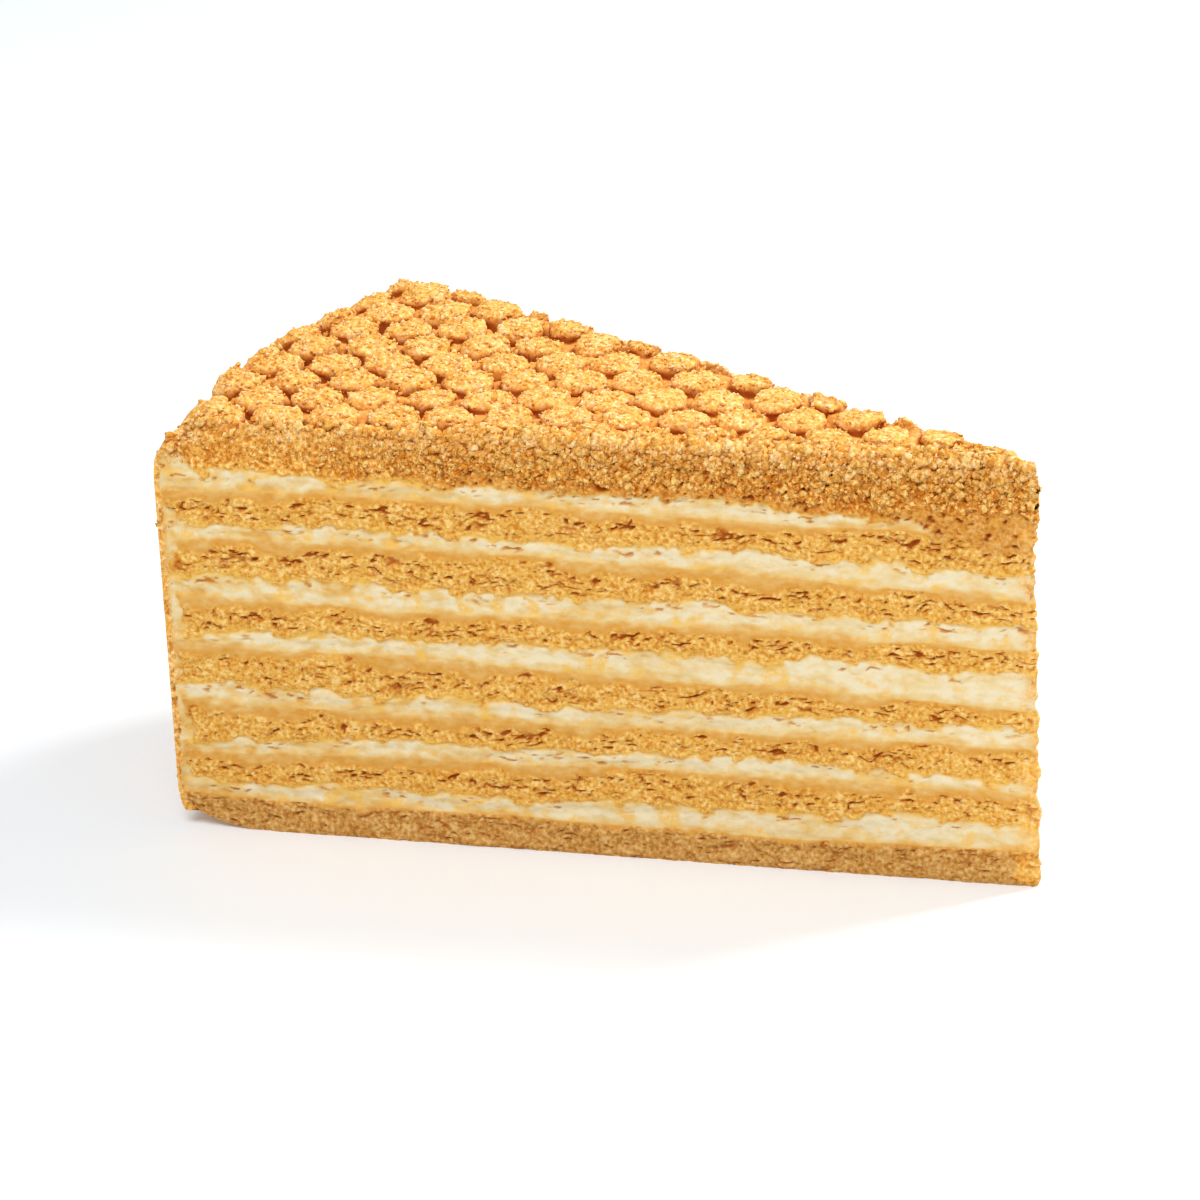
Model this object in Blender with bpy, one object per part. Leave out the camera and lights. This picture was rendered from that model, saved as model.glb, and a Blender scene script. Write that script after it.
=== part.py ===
"""One slice of a layered honey cake: eight cake layers and seven of cream in turn, a rim coated
with cream and then crumbs, and a honeycomb of crumb mounds on the top layer.

Metres, +Z up. The origin is the middle of the underside. +X runs along the middle of the slice,
from the rim of the cake to the tip, which is near the cake's centre.
"""

import math

import bmesh
import bpy
from mathutils import Matrix, Vector, noise

MM = 0.001

# The cake that the slice was cut from
CAKE_RADIUS = 120 * MM
SLICE_ANGLE = math.radians(30)
HALF_ANGLE = SLICE_ANGLE / 2
TIP_ROUNDING = 0.5 * MM

# What coats the rim, from the outside in
CRUMB_COAT = 1.2 * MM
CREAM_COAT = 1.5 * MM
GAP = 0.3 * MM

# The rim tucks in under the slice and rounds over into the top
FOOT_HEIGHT, FOOT_TUCK = 6 * MM, 2.2 * MM
SHOULDER_START, SHOULDER_TUCK = 50 * MM, 1.8 * MM
SHOULDER_WIDTH, SHOULDER_DROP = 9 * MM, 2.6 * MM

# Each cream layer, lowest first: the height of its underside, and its thickness, in millimetres
# at the rim, half way and at the tip
CREAM_LAYERS = (
    ((5.2, 4.8, 5.0), (1.8, 3.0, 4.0)),
    ((11.2, 13.0, 13.1), (1.7, 2.3, 2.2)),
    ((18.8, 18.9, 20.0), (2.0, 2.6, 2.7)),
    ((27.1, 26.5, 25.3), (1.7, 3.6, 5.0)),
    ((33.8, 33.8, 33.4), (3.0, 3.7, 3.3)),
    ((42.5, 42.5, 40.4), (2.2, 2.4, 3.9)),
    ((49.4, 49.7, 49.1), (2.6, 2.2, 1.6)),
)
TOP_SURFACE = 58.2 * MM

# Loose crumbs bank up along the front cut's top edge, on its half nearer the tip
BANK_HEIGHT, BANK_WIDTH = 0.9 * MM, 8 * MM
BANK_START, BANK_FULL = -12 * MM, 4 * MM

# Waves of the layers, and the crags of the cut faces: cake stands proud, cream sits back
WAVE_LENGTH, WAVE_HEIGHT = 17 * MM, 0.9 * MM
CRAG_LENGTH = 6 * MM
CAKE_PROUD, CAKE_CRAGS = 0.1 * MM, 0.7 * MM
CREAM_PROUD, CREAM_CRAGS = -0.25 * MM, 0.3 * MM
CREAM_TIP_SETBACK = 0.7 * MM
EDGE_ROUNDING = 0.15 * MM
COAT_CRAGS = 0.8 * MM

# The honeycomb of crumb mounds, which a mat with hexagonal holes leaves
MOUND_PITCH = 7.86 * MM
MOUND_WIDTH = 6.7 * MM
MOUND_HEIGHT = 1.5 * MM
MOUND_SUNK = 1.5 * MM
MOUND_SIDES = 12
MOUND_SIZE_SPREAD = 0.16
MOUND_CRAGS = 0.6 * MM
HONEYCOMB_START = Vector((-34.5, -20.25)) * MM
HONEYCOMB_TURN = math.radians(21.7)
LOST_MOUND = 2.2 * MM

# Facets of each layer, along the slice, across it and up, and of each coat, along the rim, up
# it and through it. A coat's facets crowd together at its foot and its shoulder.
LAYER_FACETS = (14, 4, 2)
COAT_FACETS = (8, 14, 1)
END_CROWDING = 0.12

# Base colour, roughness
CAKE_LOOK = (0.56, 0.30, 0.095), 0.85
CREAM_LOOK = (0.80, 0.62, 0.36), 0.55
TOP_LOOK = (0.74, 0.42, 0.13), 0.9
CRUMB_LOOK = (0.68, 0.37, 0.10), 0.9

TIP_TRIM = TIP_ROUNDING * (1 / math.sin(HALF_ANGLE) - 1)
CAKE_CENTRE_X = (CAKE_RADIUS + TIP_TRIM) / 2
CUT_NORMALS = (
    Vector((math.sin(HALF_ANGLE), -math.cos(HALF_ANGLE), 0)),
    Vector((math.sin(HALF_ANGLE), math.cos(HALF_ANGLE), 0)),
)


def clear_scene():
    for old in list(bpy.data.objects):
        bpy.data.objects.remove(old, do_unlink=True)


def material(name, look):
    colour, roughness = look
    made = bpy.data.materials.new(name)
    made.use_nodes = True
    shader = made.node_tree.nodes["Principled BSDF"]
    shader.inputs["Base Color"].default_value = (*colour, 1)
    shader.inputs["Roughness"].default_value = roughness
    shader.inputs["Metallic"].default_value = 0
    return made


def waver(point, length, seed):
    """Smooth noise, about -0.5 to 0.5, with lumps of the given length."""
    return noise.noise(Vector(point) / length + Vector((0, 0, 11.3 * seed)))


def plan(radius, angle):
    """The place in plan at this distance and angle from the cake's centre, which is at the tip."""
    return Vector(
        (CAKE_CENTRE_X - radius * math.cos(angle), radius * math.sin(angle), 0)
    )


def rim_radius(height):
    """The outside of the crumb coat at this height."""
    under = max(0.0, 1 - height / FOOT_HEIGHT)
    over = max(0.0, (height - SHOULDER_START) / (TOP_SURFACE - SHOULDER_START))
    return CAKE_RADIUS - FOOT_TUCK * under**2 - SHOULDER_TUCK * over**2


def tip_radius(angle):
    """How near the cut faces come to the cake's centre, which makes the tip round."""
    straight = TIP_ROUNDING / math.tan(HALF_ANGLE)
    return TIP_TRIM + (straight - TIP_TRIM) * (angle / HALF_ANGLE) ** 2


def between_stations(stations, radius):
    """A value given at the rim, half way and the tip, as a smooth curve through all three."""
    rim, middle, tip = stations
    share = radius / CAKE_RADIUS
    return (
        rim * share * (2 * share - 1)
        + middle * 4 * share * (1 - share)
        + tip * (1 - share) * (1 - 2 * share)
    )


def cream_height(layer, on_top, radius, angle):
    """The height of a cream layer's underside or top at this place."""
    underside, thickness = CREAM_LAYERS[layer]
    height = between_stations(underside, radius) * MM
    if on_top:
        height += between_stations(thickness, radius) * MM
    strength = 1.0 if on_top else 0.6
    seed = 2 * layer + on_top
    return height + WAVE_HEIGHT * strength * waver(
        plan(radius, angle), WAVE_LENGTH, seed
    )


def top_height(radius, angle):
    """The top cake layer's upper face, which drops a little at the rim."""
    near_rim = max(0.0, (radius - CAKE_RADIUS + SHOULDER_WIDTH) / SHOULDER_WIDTH)
    wave = 0.4 * WAVE_HEIGHT * waver(plan(radius, angle), WAVE_LENGTH, 40)
    return TOP_SURFACE - SHOULDER_DROP * near_rim**2 + wave


def crumb_bank(radius, angle):
    """How high the loose crumbs along the front cut's top edge lie at this place."""
    point = plan(radius, angle)
    inward = -(point - plan(0, 0)).dot(CUT_NORMALS[0])
    near_edge = max(0.0, 1 - inward / BANK_WIDTH)
    along = min(1.0, max(0.0, (point.x - BANK_START) / (BANK_FULL - BANK_START)))
    return BANK_HEIGHT * near_edge * along


def face_height(face, radius, angle):
    """Face 0 is the underside of the slice, faces 1 to 14 are the cream's, and 15 is the top."""
    if face == 0:
        return 0.0
    if face == 2 * len(CREAM_LAYERS) + 1:
        return top_height(radius, angle) + crumb_bank(radius, angle)
    return cream_height((face - 1) // 2, face % 2 == 0, radius, angle)


def unit_cage(along, across, up):
    """A unit cube of facets. Its two ends have the same triangles, so stacked solids fit."""
    cage = bmesh.new()
    bmesh.ops.create_grid(
        cage,
        x_segments=along,
        y_segments=across,
        size=0.5,
        matrix=Matrix.Translation((0.5, 0.5, 0)),
    )
    bmesh.ops.triangulate(cage, faces=cage.faces[:])
    end = cage.faces[:] + cage.edges[:]
    for level in range(up):
        end = bmesh.ops.extrude_face_region(
            cage, geom=end, use_keep_orig=(level == 0)
        )["geom"]
        points = [part for part in end if isinstance(part, bmesh.types.BMVert)]
        bmesh.ops.translate(cage, verts=points, vec=(0, 0, 1 / up))
    bmesh.ops.recalc_face_normals(cage, faces=cage.faces[:])
    return cage


def shape_cage(cage, place):
    """Moves each point of the unit cage to where place(along, across, up) puts it."""
    for point in cage.verts:
        point.co = place(*point.co)
    if cage.calc_volume(signed=True) < 0:
        bmesh.ops.reverse_faces(cage, faces=cage.faces[:])


def finished(name, cage, look, collection):
    """The cage as a named object with its own material."""
    mesh = bpy.data.meshes.new(name)
    cage.to_mesh(mesh)
    cage.free()
    made = bpy.data.objects.new(name, mesh)
    made.data.materials.append(material(name, look))
    collection.objects.link(made)
    return made


def layer_solid(name, face, depth, crags, look, collection, proud, tip_setback=0.0):
    """The layer between two faces. Depth is how far inside the rim's surface it ends."""

    def place(along, across, up):
        angle = (across - 0.5) * SLICE_ANGLE
        inner = tip_radius(angle) + tip_setback
        plain_radius = inner + (CAKE_RADIUS - depth - inner) * (1 - along)
        low = face_height(face, plain_radius, angle)
        high = face_height(face + 1, plain_radius, angle)
        low += GAP / 2 if face else 0.0
        high -= GAP / 2
        height = low + (high - low) * up
        outer = rim_radius(height) - depth
        radius = inner + (outer - inner) * (1 - along)
        point = plan(radius, angle)
        outward = Vector((0, 0, 0))
        if across < 0.01 or across > 0.99:
            outward += CUT_NORMALS[across > 0.5]
        if along > 0.99:
            outward += Vector((1, 0, 0))
        if outward.length > 0:
            swing = waver(point + Vector((0, 0, 2 * height)), CRAG_LENGTH, face)
            edge = EDGE_ROUNDING if up < 0.01 or up > 0.99 else 0.0
            point += outward.normalized() * (proud + crags * swing - edge)
        point.z = height
        return point

    cage = unit_cage(*LAYER_FACETS)
    shape_cage(cage, place)
    return finished(name, cage, look, collection)


def coat_solid(name, depth, thickness, ends, crags, look, collection):
    """A coat on the rim, between two heights that ends(angle) gives."""

    def place(across, up, out):
        angle = (across - 0.5) * SLICE_ANGLE
        low, high = ends(angle)
        share = up - END_CROWDING * math.sin(math.tau * up)
        height = low + (high - low) * share
        radius = rim_radius(height) - depth - thickness * (1 - out)
        point = plan(radius, angle)
        if out > 0.5:
            swing = 0.5 + waver(point + Vector((0, 0, height)), CRAG_LENGTH, 60)
            point = plan(radius - crags * max(0.0, swing), angle)
        point.z = height
        return point

    cage = unit_cage(*COAT_FACETS)
    shape_cage(cage, place)
    return finished(name, cage, look, collection)


def hexagon_share(angle):
    """A hexagon's radius in this direction as a share of its corners' radius, a bit rounded."""
    sector = math.radians(60)
    sharp = math.cos(sector / 2) / math.cos((angle % sector) - sector / 2)
    return 0.75 * sharp + 0.25 * 0.94


def crumb_mound(centre, number):
    """One mound of the honeycomb: a hexagonal heap with a round shoulder and an uneven top."""
    radius = math.hypot(centre.x - CAKE_CENTRE_X, centre.y)
    angle = math.atan2(centre.y, CAKE_CENTRE_X - centre.x)
    ground = top_height(radius, angle)
    size = 1 + MOUND_SIZE_SPREAD * waver(centre, 3 * MM, 80)
    corner = MOUND_WIDTH / 2 / math.cos(math.radians(30)) * size
    wall = MOUND_SUNK + 0.7 * MOUND_HEIGHT
    mound = bmesh.new()
    bmesh.ops.create_cone(
        mound,
        cap_ends=True,
        segments=MOUND_SIDES,
        radius1=corner,
        radius2=0.93 * corner,
        depth=wall,
        matrix=Matrix.Translation((0, 0, wall / 2 - MOUND_SUNK)),
    )
    lid = max(mound.faces, key=lambda f: f.calc_center_median().z)
    bmesh.ops.inset_region(
        mound, faces=[lid], thickness=0.22 * corner, depth=0.26 * MOUND_HEIGHT
    )
    lid = max(mound.faces, key=lambda f: f.calc_center_median().z)
    bmesh.ops.poke(mound, faces=[lid])
    turn = HONEYCOMB_TURN + math.radians(30)
    for point in mound.verts:
        direction = math.atan2(point.co.y, point.co.x)
        sideways = hexagon_share(direction - turn) * (
            1 + 0.16 * waver(centre + point.co, 2.2 * MM, number)
        )
        lift = 0.0
        if point.co.z > 0:
            lift = MOUND_CRAGS * waver(centre + point.co, 1.7 * MM, number + 1)
        point.co.x *= sideways
        point.co.y *= sideways
        point.co += Vector((centre.x, centre.y, ground + lift))
    return mound


def mound_centres():
    """The honeycomb's places that fall on the slice, or near enough to leave part of a mound."""
    step = Vector((MOUND_PITCH, 0))
    along = step.copy()
    along.rotate(Matrix.Rotation(HONEYCOMB_TURN, 2))
    aslant = step.copy()
    aslant.rotate(Matrix.Rotation(HONEYCOMB_TURN + math.radians(120), 2))
    reach = range(-14, 15)
    for row in reach:
        for column in reach:
            flat = HONEYCOMB_START + along * column + aslant * row
            centre = Vector((flat.x, flat.y, 0))
            beyond_cuts = max(
                (centre - plan(0, 0)).dot(normal) for normal in CUT_NORMALS
            )
            from_middle = (centre - plan(0, 0)).length
            beyond_rim = from_middle - (CAKE_RADIUS - CRUMB_COAT - SHOULDER_TUCK)
            if max(beyond_cuts, beyond_rim) < LOST_MOUND and centre.x < CAKE_CENTRE_X:
                yield centre


def slice_prism(collection):
    """The upright wedge that the mounds are cut to, clear of the crumb coat."""
    low, high = TOP_SURFACE - 8 * MM, TOP_SURFACE + 8 * MM
    outer = rim_radius(TOP_SURFACE) - CRUMB_COAT - GAP

    def place(along, across, up):
        angle = (across - 0.5) * SLICE_ANGLE
        inner = tip_radius(angle)
        point = plan(inner + (outer - inner) * (1 - along), angle)
        point.z = low + (high - low) * up
        return point

    cage = unit_cage(1, 8, 1)
    shape_cage(cage, place)
    prism = finished("slice_prism", cage, CAKE_LOOK, collection)
    prism.hide_render = True
    prism.display_type = "WIRE"
    return prism


def boolean(target, operation, operand):
    """Applies one Boolean to the target and removes its operand.

    The exact solver leaves the many mounds as separate bodies, so this is the manifold one.
    """
    step = target.modifiers.new(operation.lower(), "BOOLEAN")
    step.operation = operation
    step.object = operand
    step.solver = "MANIFOLD"
    graph = bpy.context.evaluated_depsgraph_get()
    result = bpy.data.meshes.new_from_object(target.evaluated_get(graph))
    target.modifiers.clear()
    target.data = result
    bpy.data.objects.remove(operand)


def top_layer_with_mounds(collection, cutters):
    """The top cake layer and the crumb mounds on it, as one solid."""
    top_face = 2 * len(CREAM_LAYERS)
    top_layer = layer_solid(
        f"cake_{len(CREAM_LAYERS) + 1}_top",
        top_face,
        CRUMB_COAT + GAP,
        CAKE_CRAGS,
        TOP_LOOK,
        collection,
        CAKE_PROUD,
    )
    heap = bmesh.new()
    scratch = bpy.data.meshes.new("mound")
    for number, centre in enumerate(mound_centres()):
        mound = crumb_mound(centre, number)
        mound.to_mesh(scratch)
        mound.free()
        heap.from_mesh(scratch)
    bpy.data.meshes.remove(scratch)
    mounds = finished("mounds", heap, TOP_LOOK, cutters)
    boolean(mounds, "INTERSECT", slice_prism(cutters))
    boolean(top_layer, "UNION", mounds)
    return top_layer


def main():
    clear_scene()
    scene = bpy.context.scene
    collection = bpy.data.collections.new("honey_cake_slice")
    cutters = bpy.data.collections.new("cutters")
    scene.collection.children.link(collection)
    scene.collection.children.link(cutters)

    inside_coats = CRUMB_COAT + GAP + CREAM_COAT + GAP
    for layer in range(len(CREAM_LAYERS)):
        depth = CRUMB_COAT + GAP if layer == 0 else inside_coats
        layer_solid(
            f"cake_{layer + 1}",
            2 * layer,
            depth,
            CAKE_CRAGS,
            CAKE_LOOK,
            collection,
            CAKE_PROUD,
        )
        layer_solid(
            f"cream_{layer + 1}",
            2 * layer + 1,
            inside_coats,
            CREAM_CRAGS,
            CREAM_LOOK,
            collection,
            CREAM_PROUD,
            CREAM_TIP_SETBACK,
        )
    top_layer_with_mounds(collection, cutters)

    cream_depth = CRUMB_COAT + GAP
    first_face, last_face = 1, 2 * len(CREAM_LAYERS)

    def cream_coat_ends(angle):
        radius = CAKE_RADIUS - cream_depth
        return (
            face_height(first_face, radius, angle) + GAP,
            face_height(last_face, radius, angle) - GAP,
        )

    def crumb_coat_ends(angle):
        foot = 1.6 * MM + 0.6 * MM * waver(plan(CAKE_RADIUS, angle), CRAG_LENGTH, 70)
        return foot, top_height(CAKE_RADIUS, angle) + 0.8 * MM

    coat_solid(
        "rim_cream",
        cream_depth,
        CREAM_COAT,
        cream_coat_ends,
        0.0,
        CREAM_LOOK,
        collection,
    )
    coat_solid(
        "rim_crumbs",
        0.0,
        CRUMB_COAT,
        crumb_coat_ends,
        COAT_CRAGS,
        CRUMB_LOOK,
        collection,
    )
    scene.collection.children.unlink(cutters)
    bpy.data.collections.remove(cutters)


main()
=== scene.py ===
"""The finished look of one slice of layered honey cake: every layer with its torn crumb or soft
cream at the cut faces, the crumb coat of the rim and the honeycomb of crumb mounds on top.

Shapes are worked out in millimetres, in the frame of the solids, and meshes are made in metres.
Most surfaces are grids of points, each with values that the materials read: "stain" goes from
clean cream to soaked cake and to the honeycomb's channels, "crumb" is how crumbly the surface is,
"grade" goes from the brown base to golden crumbs, "pit" is painted shade in holes, cracks and
the gaps between crumbs, and "smear" is golden smears. Loose crumbs have "shade" too, which is
how light each of them is.
"""

import itertools
import math

import bpy
import numpy as np
from mathutils import Matrix, Vector, noise


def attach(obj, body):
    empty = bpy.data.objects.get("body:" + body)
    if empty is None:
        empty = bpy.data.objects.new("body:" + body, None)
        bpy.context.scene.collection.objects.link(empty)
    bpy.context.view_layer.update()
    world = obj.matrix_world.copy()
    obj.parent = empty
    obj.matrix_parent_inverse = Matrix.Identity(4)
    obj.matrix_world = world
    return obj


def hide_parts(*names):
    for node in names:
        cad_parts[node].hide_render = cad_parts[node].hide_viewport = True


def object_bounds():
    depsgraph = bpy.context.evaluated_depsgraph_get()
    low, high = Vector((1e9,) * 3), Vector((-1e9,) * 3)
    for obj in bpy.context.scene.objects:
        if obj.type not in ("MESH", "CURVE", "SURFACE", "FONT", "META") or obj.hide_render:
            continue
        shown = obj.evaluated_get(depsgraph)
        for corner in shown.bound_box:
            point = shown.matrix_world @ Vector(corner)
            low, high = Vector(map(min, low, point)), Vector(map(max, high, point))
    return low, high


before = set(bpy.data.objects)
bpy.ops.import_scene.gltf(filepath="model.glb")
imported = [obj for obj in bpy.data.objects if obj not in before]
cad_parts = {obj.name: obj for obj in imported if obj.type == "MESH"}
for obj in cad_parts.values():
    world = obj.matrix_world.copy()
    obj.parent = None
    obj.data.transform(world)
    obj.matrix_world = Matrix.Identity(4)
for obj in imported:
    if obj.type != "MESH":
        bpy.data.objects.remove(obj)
cad_box = [list(corner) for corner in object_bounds()]

MM = 0.001

# The slice, as its solids have it
CAKE_RADIUS = 120
HALF_ANGLE = math.radians(15)
TIP_ROUNDING = 0.5
TIP_TRIM = TIP_ROUNDING * (1 / math.sin(HALF_ANGLE) - 1)
TIP_STRAIGHT = TIP_ROUNDING / math.tan(HALF_ANGLE)
CAKE_CENTRE_X = (CAKE_RADIUS + TIP_TRIM) / 2
CRUMB_COAT = 1.2
CREAM_COAT = 1.5
FOOT_HEIGHT, FOOT_TUCK = 6, 2.2
SHOULDER_START, SHOULDER_TUCK = 50, 1.8
SHOULDER_WIDTH, SHOULDER_DROP = 9, 2.6

# The cream layers from below: the height of each one's underside, and how thick it is, at the
# rim, half way and at the tip
CREAM_LAYERS = (
    ((5.2, 4.8, 5.0), (1.8, 3.0, 4.0)),
    ((11.2, 13.0, 13.1), (1.7, 2.3, 2.2)),
    ((18.8, 18.9, 20.0), (2.0, 2.6, 2.7)),
    ((27.1, 26.5, 25.3), (1.7, 3.6, 5.0)),
    ((33.8, 33.8, 33.4), (3.0, 3.7, 3.3)),
    ((42.5, 42.5, 40.4), (2.2, 2.4, 3.9)),
    ((49.4, 49.7, 49.1), (2.6, 2.2, 1.6)),
)
TOP_FACE = 2 * len(CREAM_LAYERS) + 1
TOP_LAYER = TOP_FACE - 1
TOP_SURFACE = 58.2
WAVE_LENGTH, WAVE_HEIGHT = 17, 0.9
BANK_HEIGHT, BANK_WIDTH = 0.9, 8
BANK_START, BANK_FULL = -12, 4

# The honeycomb of crumb mounds
MOUND_PITCH = 7.86
MOUND_HEIGHT = 1.4
CHANNEL_FLOOR = 0.0
HONEYCOMB_START = (-34.5, -20.25)
HONEYCOMB_TURN = math.radians(21.7)

# How the points of the honeycomb crowd at the mounds' walls: from their places in a mound, with
# 1 half way to the next mound, to where they are moved. The walls lie between WALL_TOP and
# WALL_FOOT, and their feet get painted shade where they face SHADED_WAY, away from the key
# light. The top's slope is measured over SLOPE_STEP.
CROWDED_FROM = (0, 0.68, 0.92, 1.0)
CROWDED_TO = (0, 0.77, 0.87, 1.0)
WALL_FOOT, WALL_TOP = 0.87, 0.76
SHADED_WAY = (-0.25, -0.97)
SLOPE_STEP = 0.08

# How finely the cuts and the top are made. The top is in bands, each from its outer to its inner
# radius, with fewer columns towards the tip.
CUT_SPACING, ROW_SPACING = 0.33, 0.2
TOP_SPACING = 0.28
TOP_BANDS = ((118.8, 60, 220), (60, 30, 110), (30, 0, 55))

# How many points go round a layer's tip and along its rim, how many rows the top's cut faces and
# the crumb coat have, and how many points the cream coat's ends and hidden sides have. The faces
# that close a layer take every sixth point.
TIP_POINTS, RIM_POINTS = 5, 24
WALL_ROWS, CAP_ROWS = 30, 6
COAT_ROWS, COAT_COLUMNS = 165, 165
END_POINTS, HIDDEN_POINTS = 8, 8
HIDDEN_STRIDE = 6

# How high the cream coat is, and how far in the crumb coat's underside reaches
CREAM_COAT_HEIGHT, FOOT_REACH = 46, 5.0

# How neighbours reach in behind each other, so that no gap shows between them
TUCK_IN, TUCK_PAST = 0.9, 0.3

# How far the edges are rounded: the front cut's top edge at the rim and at the tip, the back
# cut's top edge, the rim's top edge and the bottom edge
CUT_EDGE, BACK_EDGE = (1.0, 2.6), 0.5
RIM_EDGE, BOTTOM_EDGE = 1.0, 0.7

# How far the mounds are lifted at the rim, by the front cut and by the back one, and along the
# back cut. The top drops at the tip, the tip's edge stands back, which fades along TIP_FADE, and
# the underside rises towards the rim.
RIM_LIFT, BACK_LIFT, TIP_DROP = (-1.6, 0.6), 0.5, 1.4
TIP_FADE = 4
FOOT_LIFT, FOOT_WIDTH = 2.4, 10

# How far under the box's top the shapes begin to be lowered, and from which angle on an edge is
# shaded as a sharp one
HEADROOM = 0.45
SHARP_EDGE = math.radians(65)

# The loose crumbs of each kind: how many, the smallest one's size, and how much larger they get.
# Those on the cut faces are scaled, at the rim and past the middle. Each crumb is a box with
# moved corners, and its inner corners get painted shade, like the gaps between the crumbs.
MOUND_CRUMBS = (5200, 0.18, 0.36)
BANK_CRUMBS = (3200, 0.3, 0.7)
CUT_CRUMBS = (9000, 0.2, 0.5)
RIM_CRUMBS = (5000, 0.2, 0.4)
CUT_CRUMB_SCALE = (0.55, 1.15)
GRAIN_GAP_SHADE = 0.5
BOX_CORNERS = np.array(list(itertools.product((-1, 1), repeat=3))) / math.sqrt(3)
BOX_STRETCH, CORNER_REACH = (0.6, 1.35), (0.6, 1.2)

# The camera, from the perspective of the photograph
CAMERA_AZIMUTH, CAMERA_ELEVATION, CAMERA_ROLL = 30.76, 22.7, -2.7
CAMERA_LENS, CAMERA_DISTANCE = 165.9, 728.7
CAMERA_TARGET = (1.25, -11.6, 35.3)

# The floor and the lights, in metres and watts: each light's place, size, power and colour
FLOOR_SIZE = 6
KEY_LIGHT = ((0.28, 0.4, 0.5), 0.2, 4.2, (1, 0.985, 0.96))
FRONT_LIGHT = ((0.05, -0.5, 0.8), 0.45, 5.3, (1, 1, 1))
LIGHTS_TARGET = (0, 0, 0.03)
SURROUNDINGS = 0.42

# The materials' values, and the grades and stains that have names. The faces that no view shows
# have HIDDEN_VALUES.
VALUE_NAMES = ("stain", "crumb", "grade", "pit_shade", "smear")
BASE_GRADE, TOP_CUT_GRADE, LAYER_GRADE, GOLD_GRADE = 0.0, 0.35, 0.65, 1.0
SOAKED_STAIN, CHANNEL_STAIN = 1.0, 2.0
HIDDEN_VALUES = (SOAKED_STAIN, 1, LAYER_GRADE, 0, 0)


def ease(low, high, value):
    """0 below low, 1 above high, and a smooth step between."""
    share = np.clip((value - low) / (high - low), 0, 1)
    return share * share * (3 - 2 * share)


def mix(first, second, share):
    return first + (second - first) * share


def scrambled(place, seed):
    """Three random numbers from 0 to 1 for each whole-numbered place in space."""
    x, y, z = (place[..., axis].astype(np.int64).astype(np.uint32) for axis in range(3))
    mixed = x * np.uint32(374761393) + y * np.uint32(668265263)
    mixed = mixed + z * np.uint32(2246822519) + np.uint32(seed * 2654435 + 97)
    mixed = (mixed ^ (mixed >> np.uint32(15))) * np.uint32(2246822519)
    mixed = (mixed ^ (mixed >> np.uint32(13))) * np.uint32(3266489917)
    mixed = mixed ^ (mixed >> np.uint32(16))
    tenths = [(mixed >> np.uint32(shift)) & np.uint32(1023) for shift in (0, 10, 20)]
    return np.stack(tenths, -1) / 1023


def swell(points, length, seed):
    """Smooth noise, about -1 to 1, with lumps of the given length or lengths."""
    place = points / np.asarray(length, float)
    cell = np.floor(place)
    part = place - cell
    fade = part**3 * (part * (part * 6 - 15) + 10)
    total = np.zeros(points.shape[:-1])
    for corner in itertools.product((0, 1), repeat=3):
        slope = scrambled(cell + corner, seed) * 2 - 1
        reach = part - corner
        weight = np.where(np.array(corner) > 0, fade, 1 - fade).prod(-1)
        total += (slope * reach).sum(-1) * weight
    return total * 1.5


def pebbles(points, size, seed):
    """Round grains packed together: 1 at the middle of each, 0 in the gaps between them."""
    place = points / np.asarray(size, float)
    cell = np.floor(place)
    nearest = np.full(points.shape[:-1], 9.0)
    for corner in itertools.product((-1, 0, 1), repeat=3):
        grain = cell + corner
        away = grain + 0.1 + 0.8 * scrambled(grain, seed) - place
        nearest = np.minimum(nearest, (away**2).sum(-1))
    return np.clip(1 - nearest / 0.72, 0, 1)


def waver(points, length, seed):
    """The noise that the solids' waves follow, about -0.5 to 0.5."""
    shift = Vector((0, 0, 11.3 * seed))
    flat = points.reshape(-1, 3)
    values = [noise.noise(Vector(point) / length + shift) for point in flat]
    return np.array(values).reshape(points.shape[:-1])


def plan(radius, angle):
    """Places in plan at these distances and angles from the cake's centre."""
    x = CAKE_CENTRE_X - radius * np.cos(angle)
    y = radius * np.sin(angle)
    return np.stack([x, y, np.zeros_like(x)], -1)


def polar(points):
    """The distance and angle from the cake's centre of each point."""
    x, y = CAKE_CENTRE_X - points[..., 0], points[..., 1]
    return np.hypot(x, y), np.arctan2(y, x)


def rim_depth_at(points):
    """How far inside the cake's full radius each point is."""
    return CAKE_RADIUS - polar(points)[0]


def cut_normal(side):
    """Which way a cut face looks: -1 is the front one and 1 the back one."""
    return np.array((math.sin(HALF_ANGLE), side * math.cos(HALF_ANGLE), 0))


def heading(angle):
    """A direction seen from above, as x and y."""
    return np.array([math.cos(angle), math.sin(angle)])


def rim_normals(angle):
    """Which way the rim looks at each angle."""
    return np.stack([-np.cos(angle), np.sin(angle), np.zeros_like(angle)], -1)


def rim_profile(height):
    """How far inside the cake's full radius the rim is at this height."""
    under = np.clip(1 - height / FOOT_HEIGHT, 0, None)
    over = np.clip((height - SHOULDER_START) / (TOP_SURFACE - SHOULDER_START), 0, None)
    return FOOT_TUCK * under**2 + SHOULDER_TUCK * over**2


def raised_to(columns, heights):
    """Points at these heights over places in plan, following the rim's profile."""
    radius, angle = polar(columns)
    stretch = np.clip((radius - TIP_STRAIGHT) / (CAKE_RADIUS - TIP_STRAIGHT), 0, 1)
    points = plan(radius - stretch * rim_profile(heights), np.broadcast_to(angle, heights.shape))
    points[..., 2] = heights
    return points


def between_stations(stations, radius):
    """A value given at the rim, half way and the tip, as a smooth curve through all three."""
    rim, middle, tip = stations
    share = radius / CAKE_RADIUS
    return (
        rim * share * (2 * share - 1)
        + middle * 4 * share * (1 - share)
        + tip * (1 - share) * (1 - 2 * share)
    )


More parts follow.
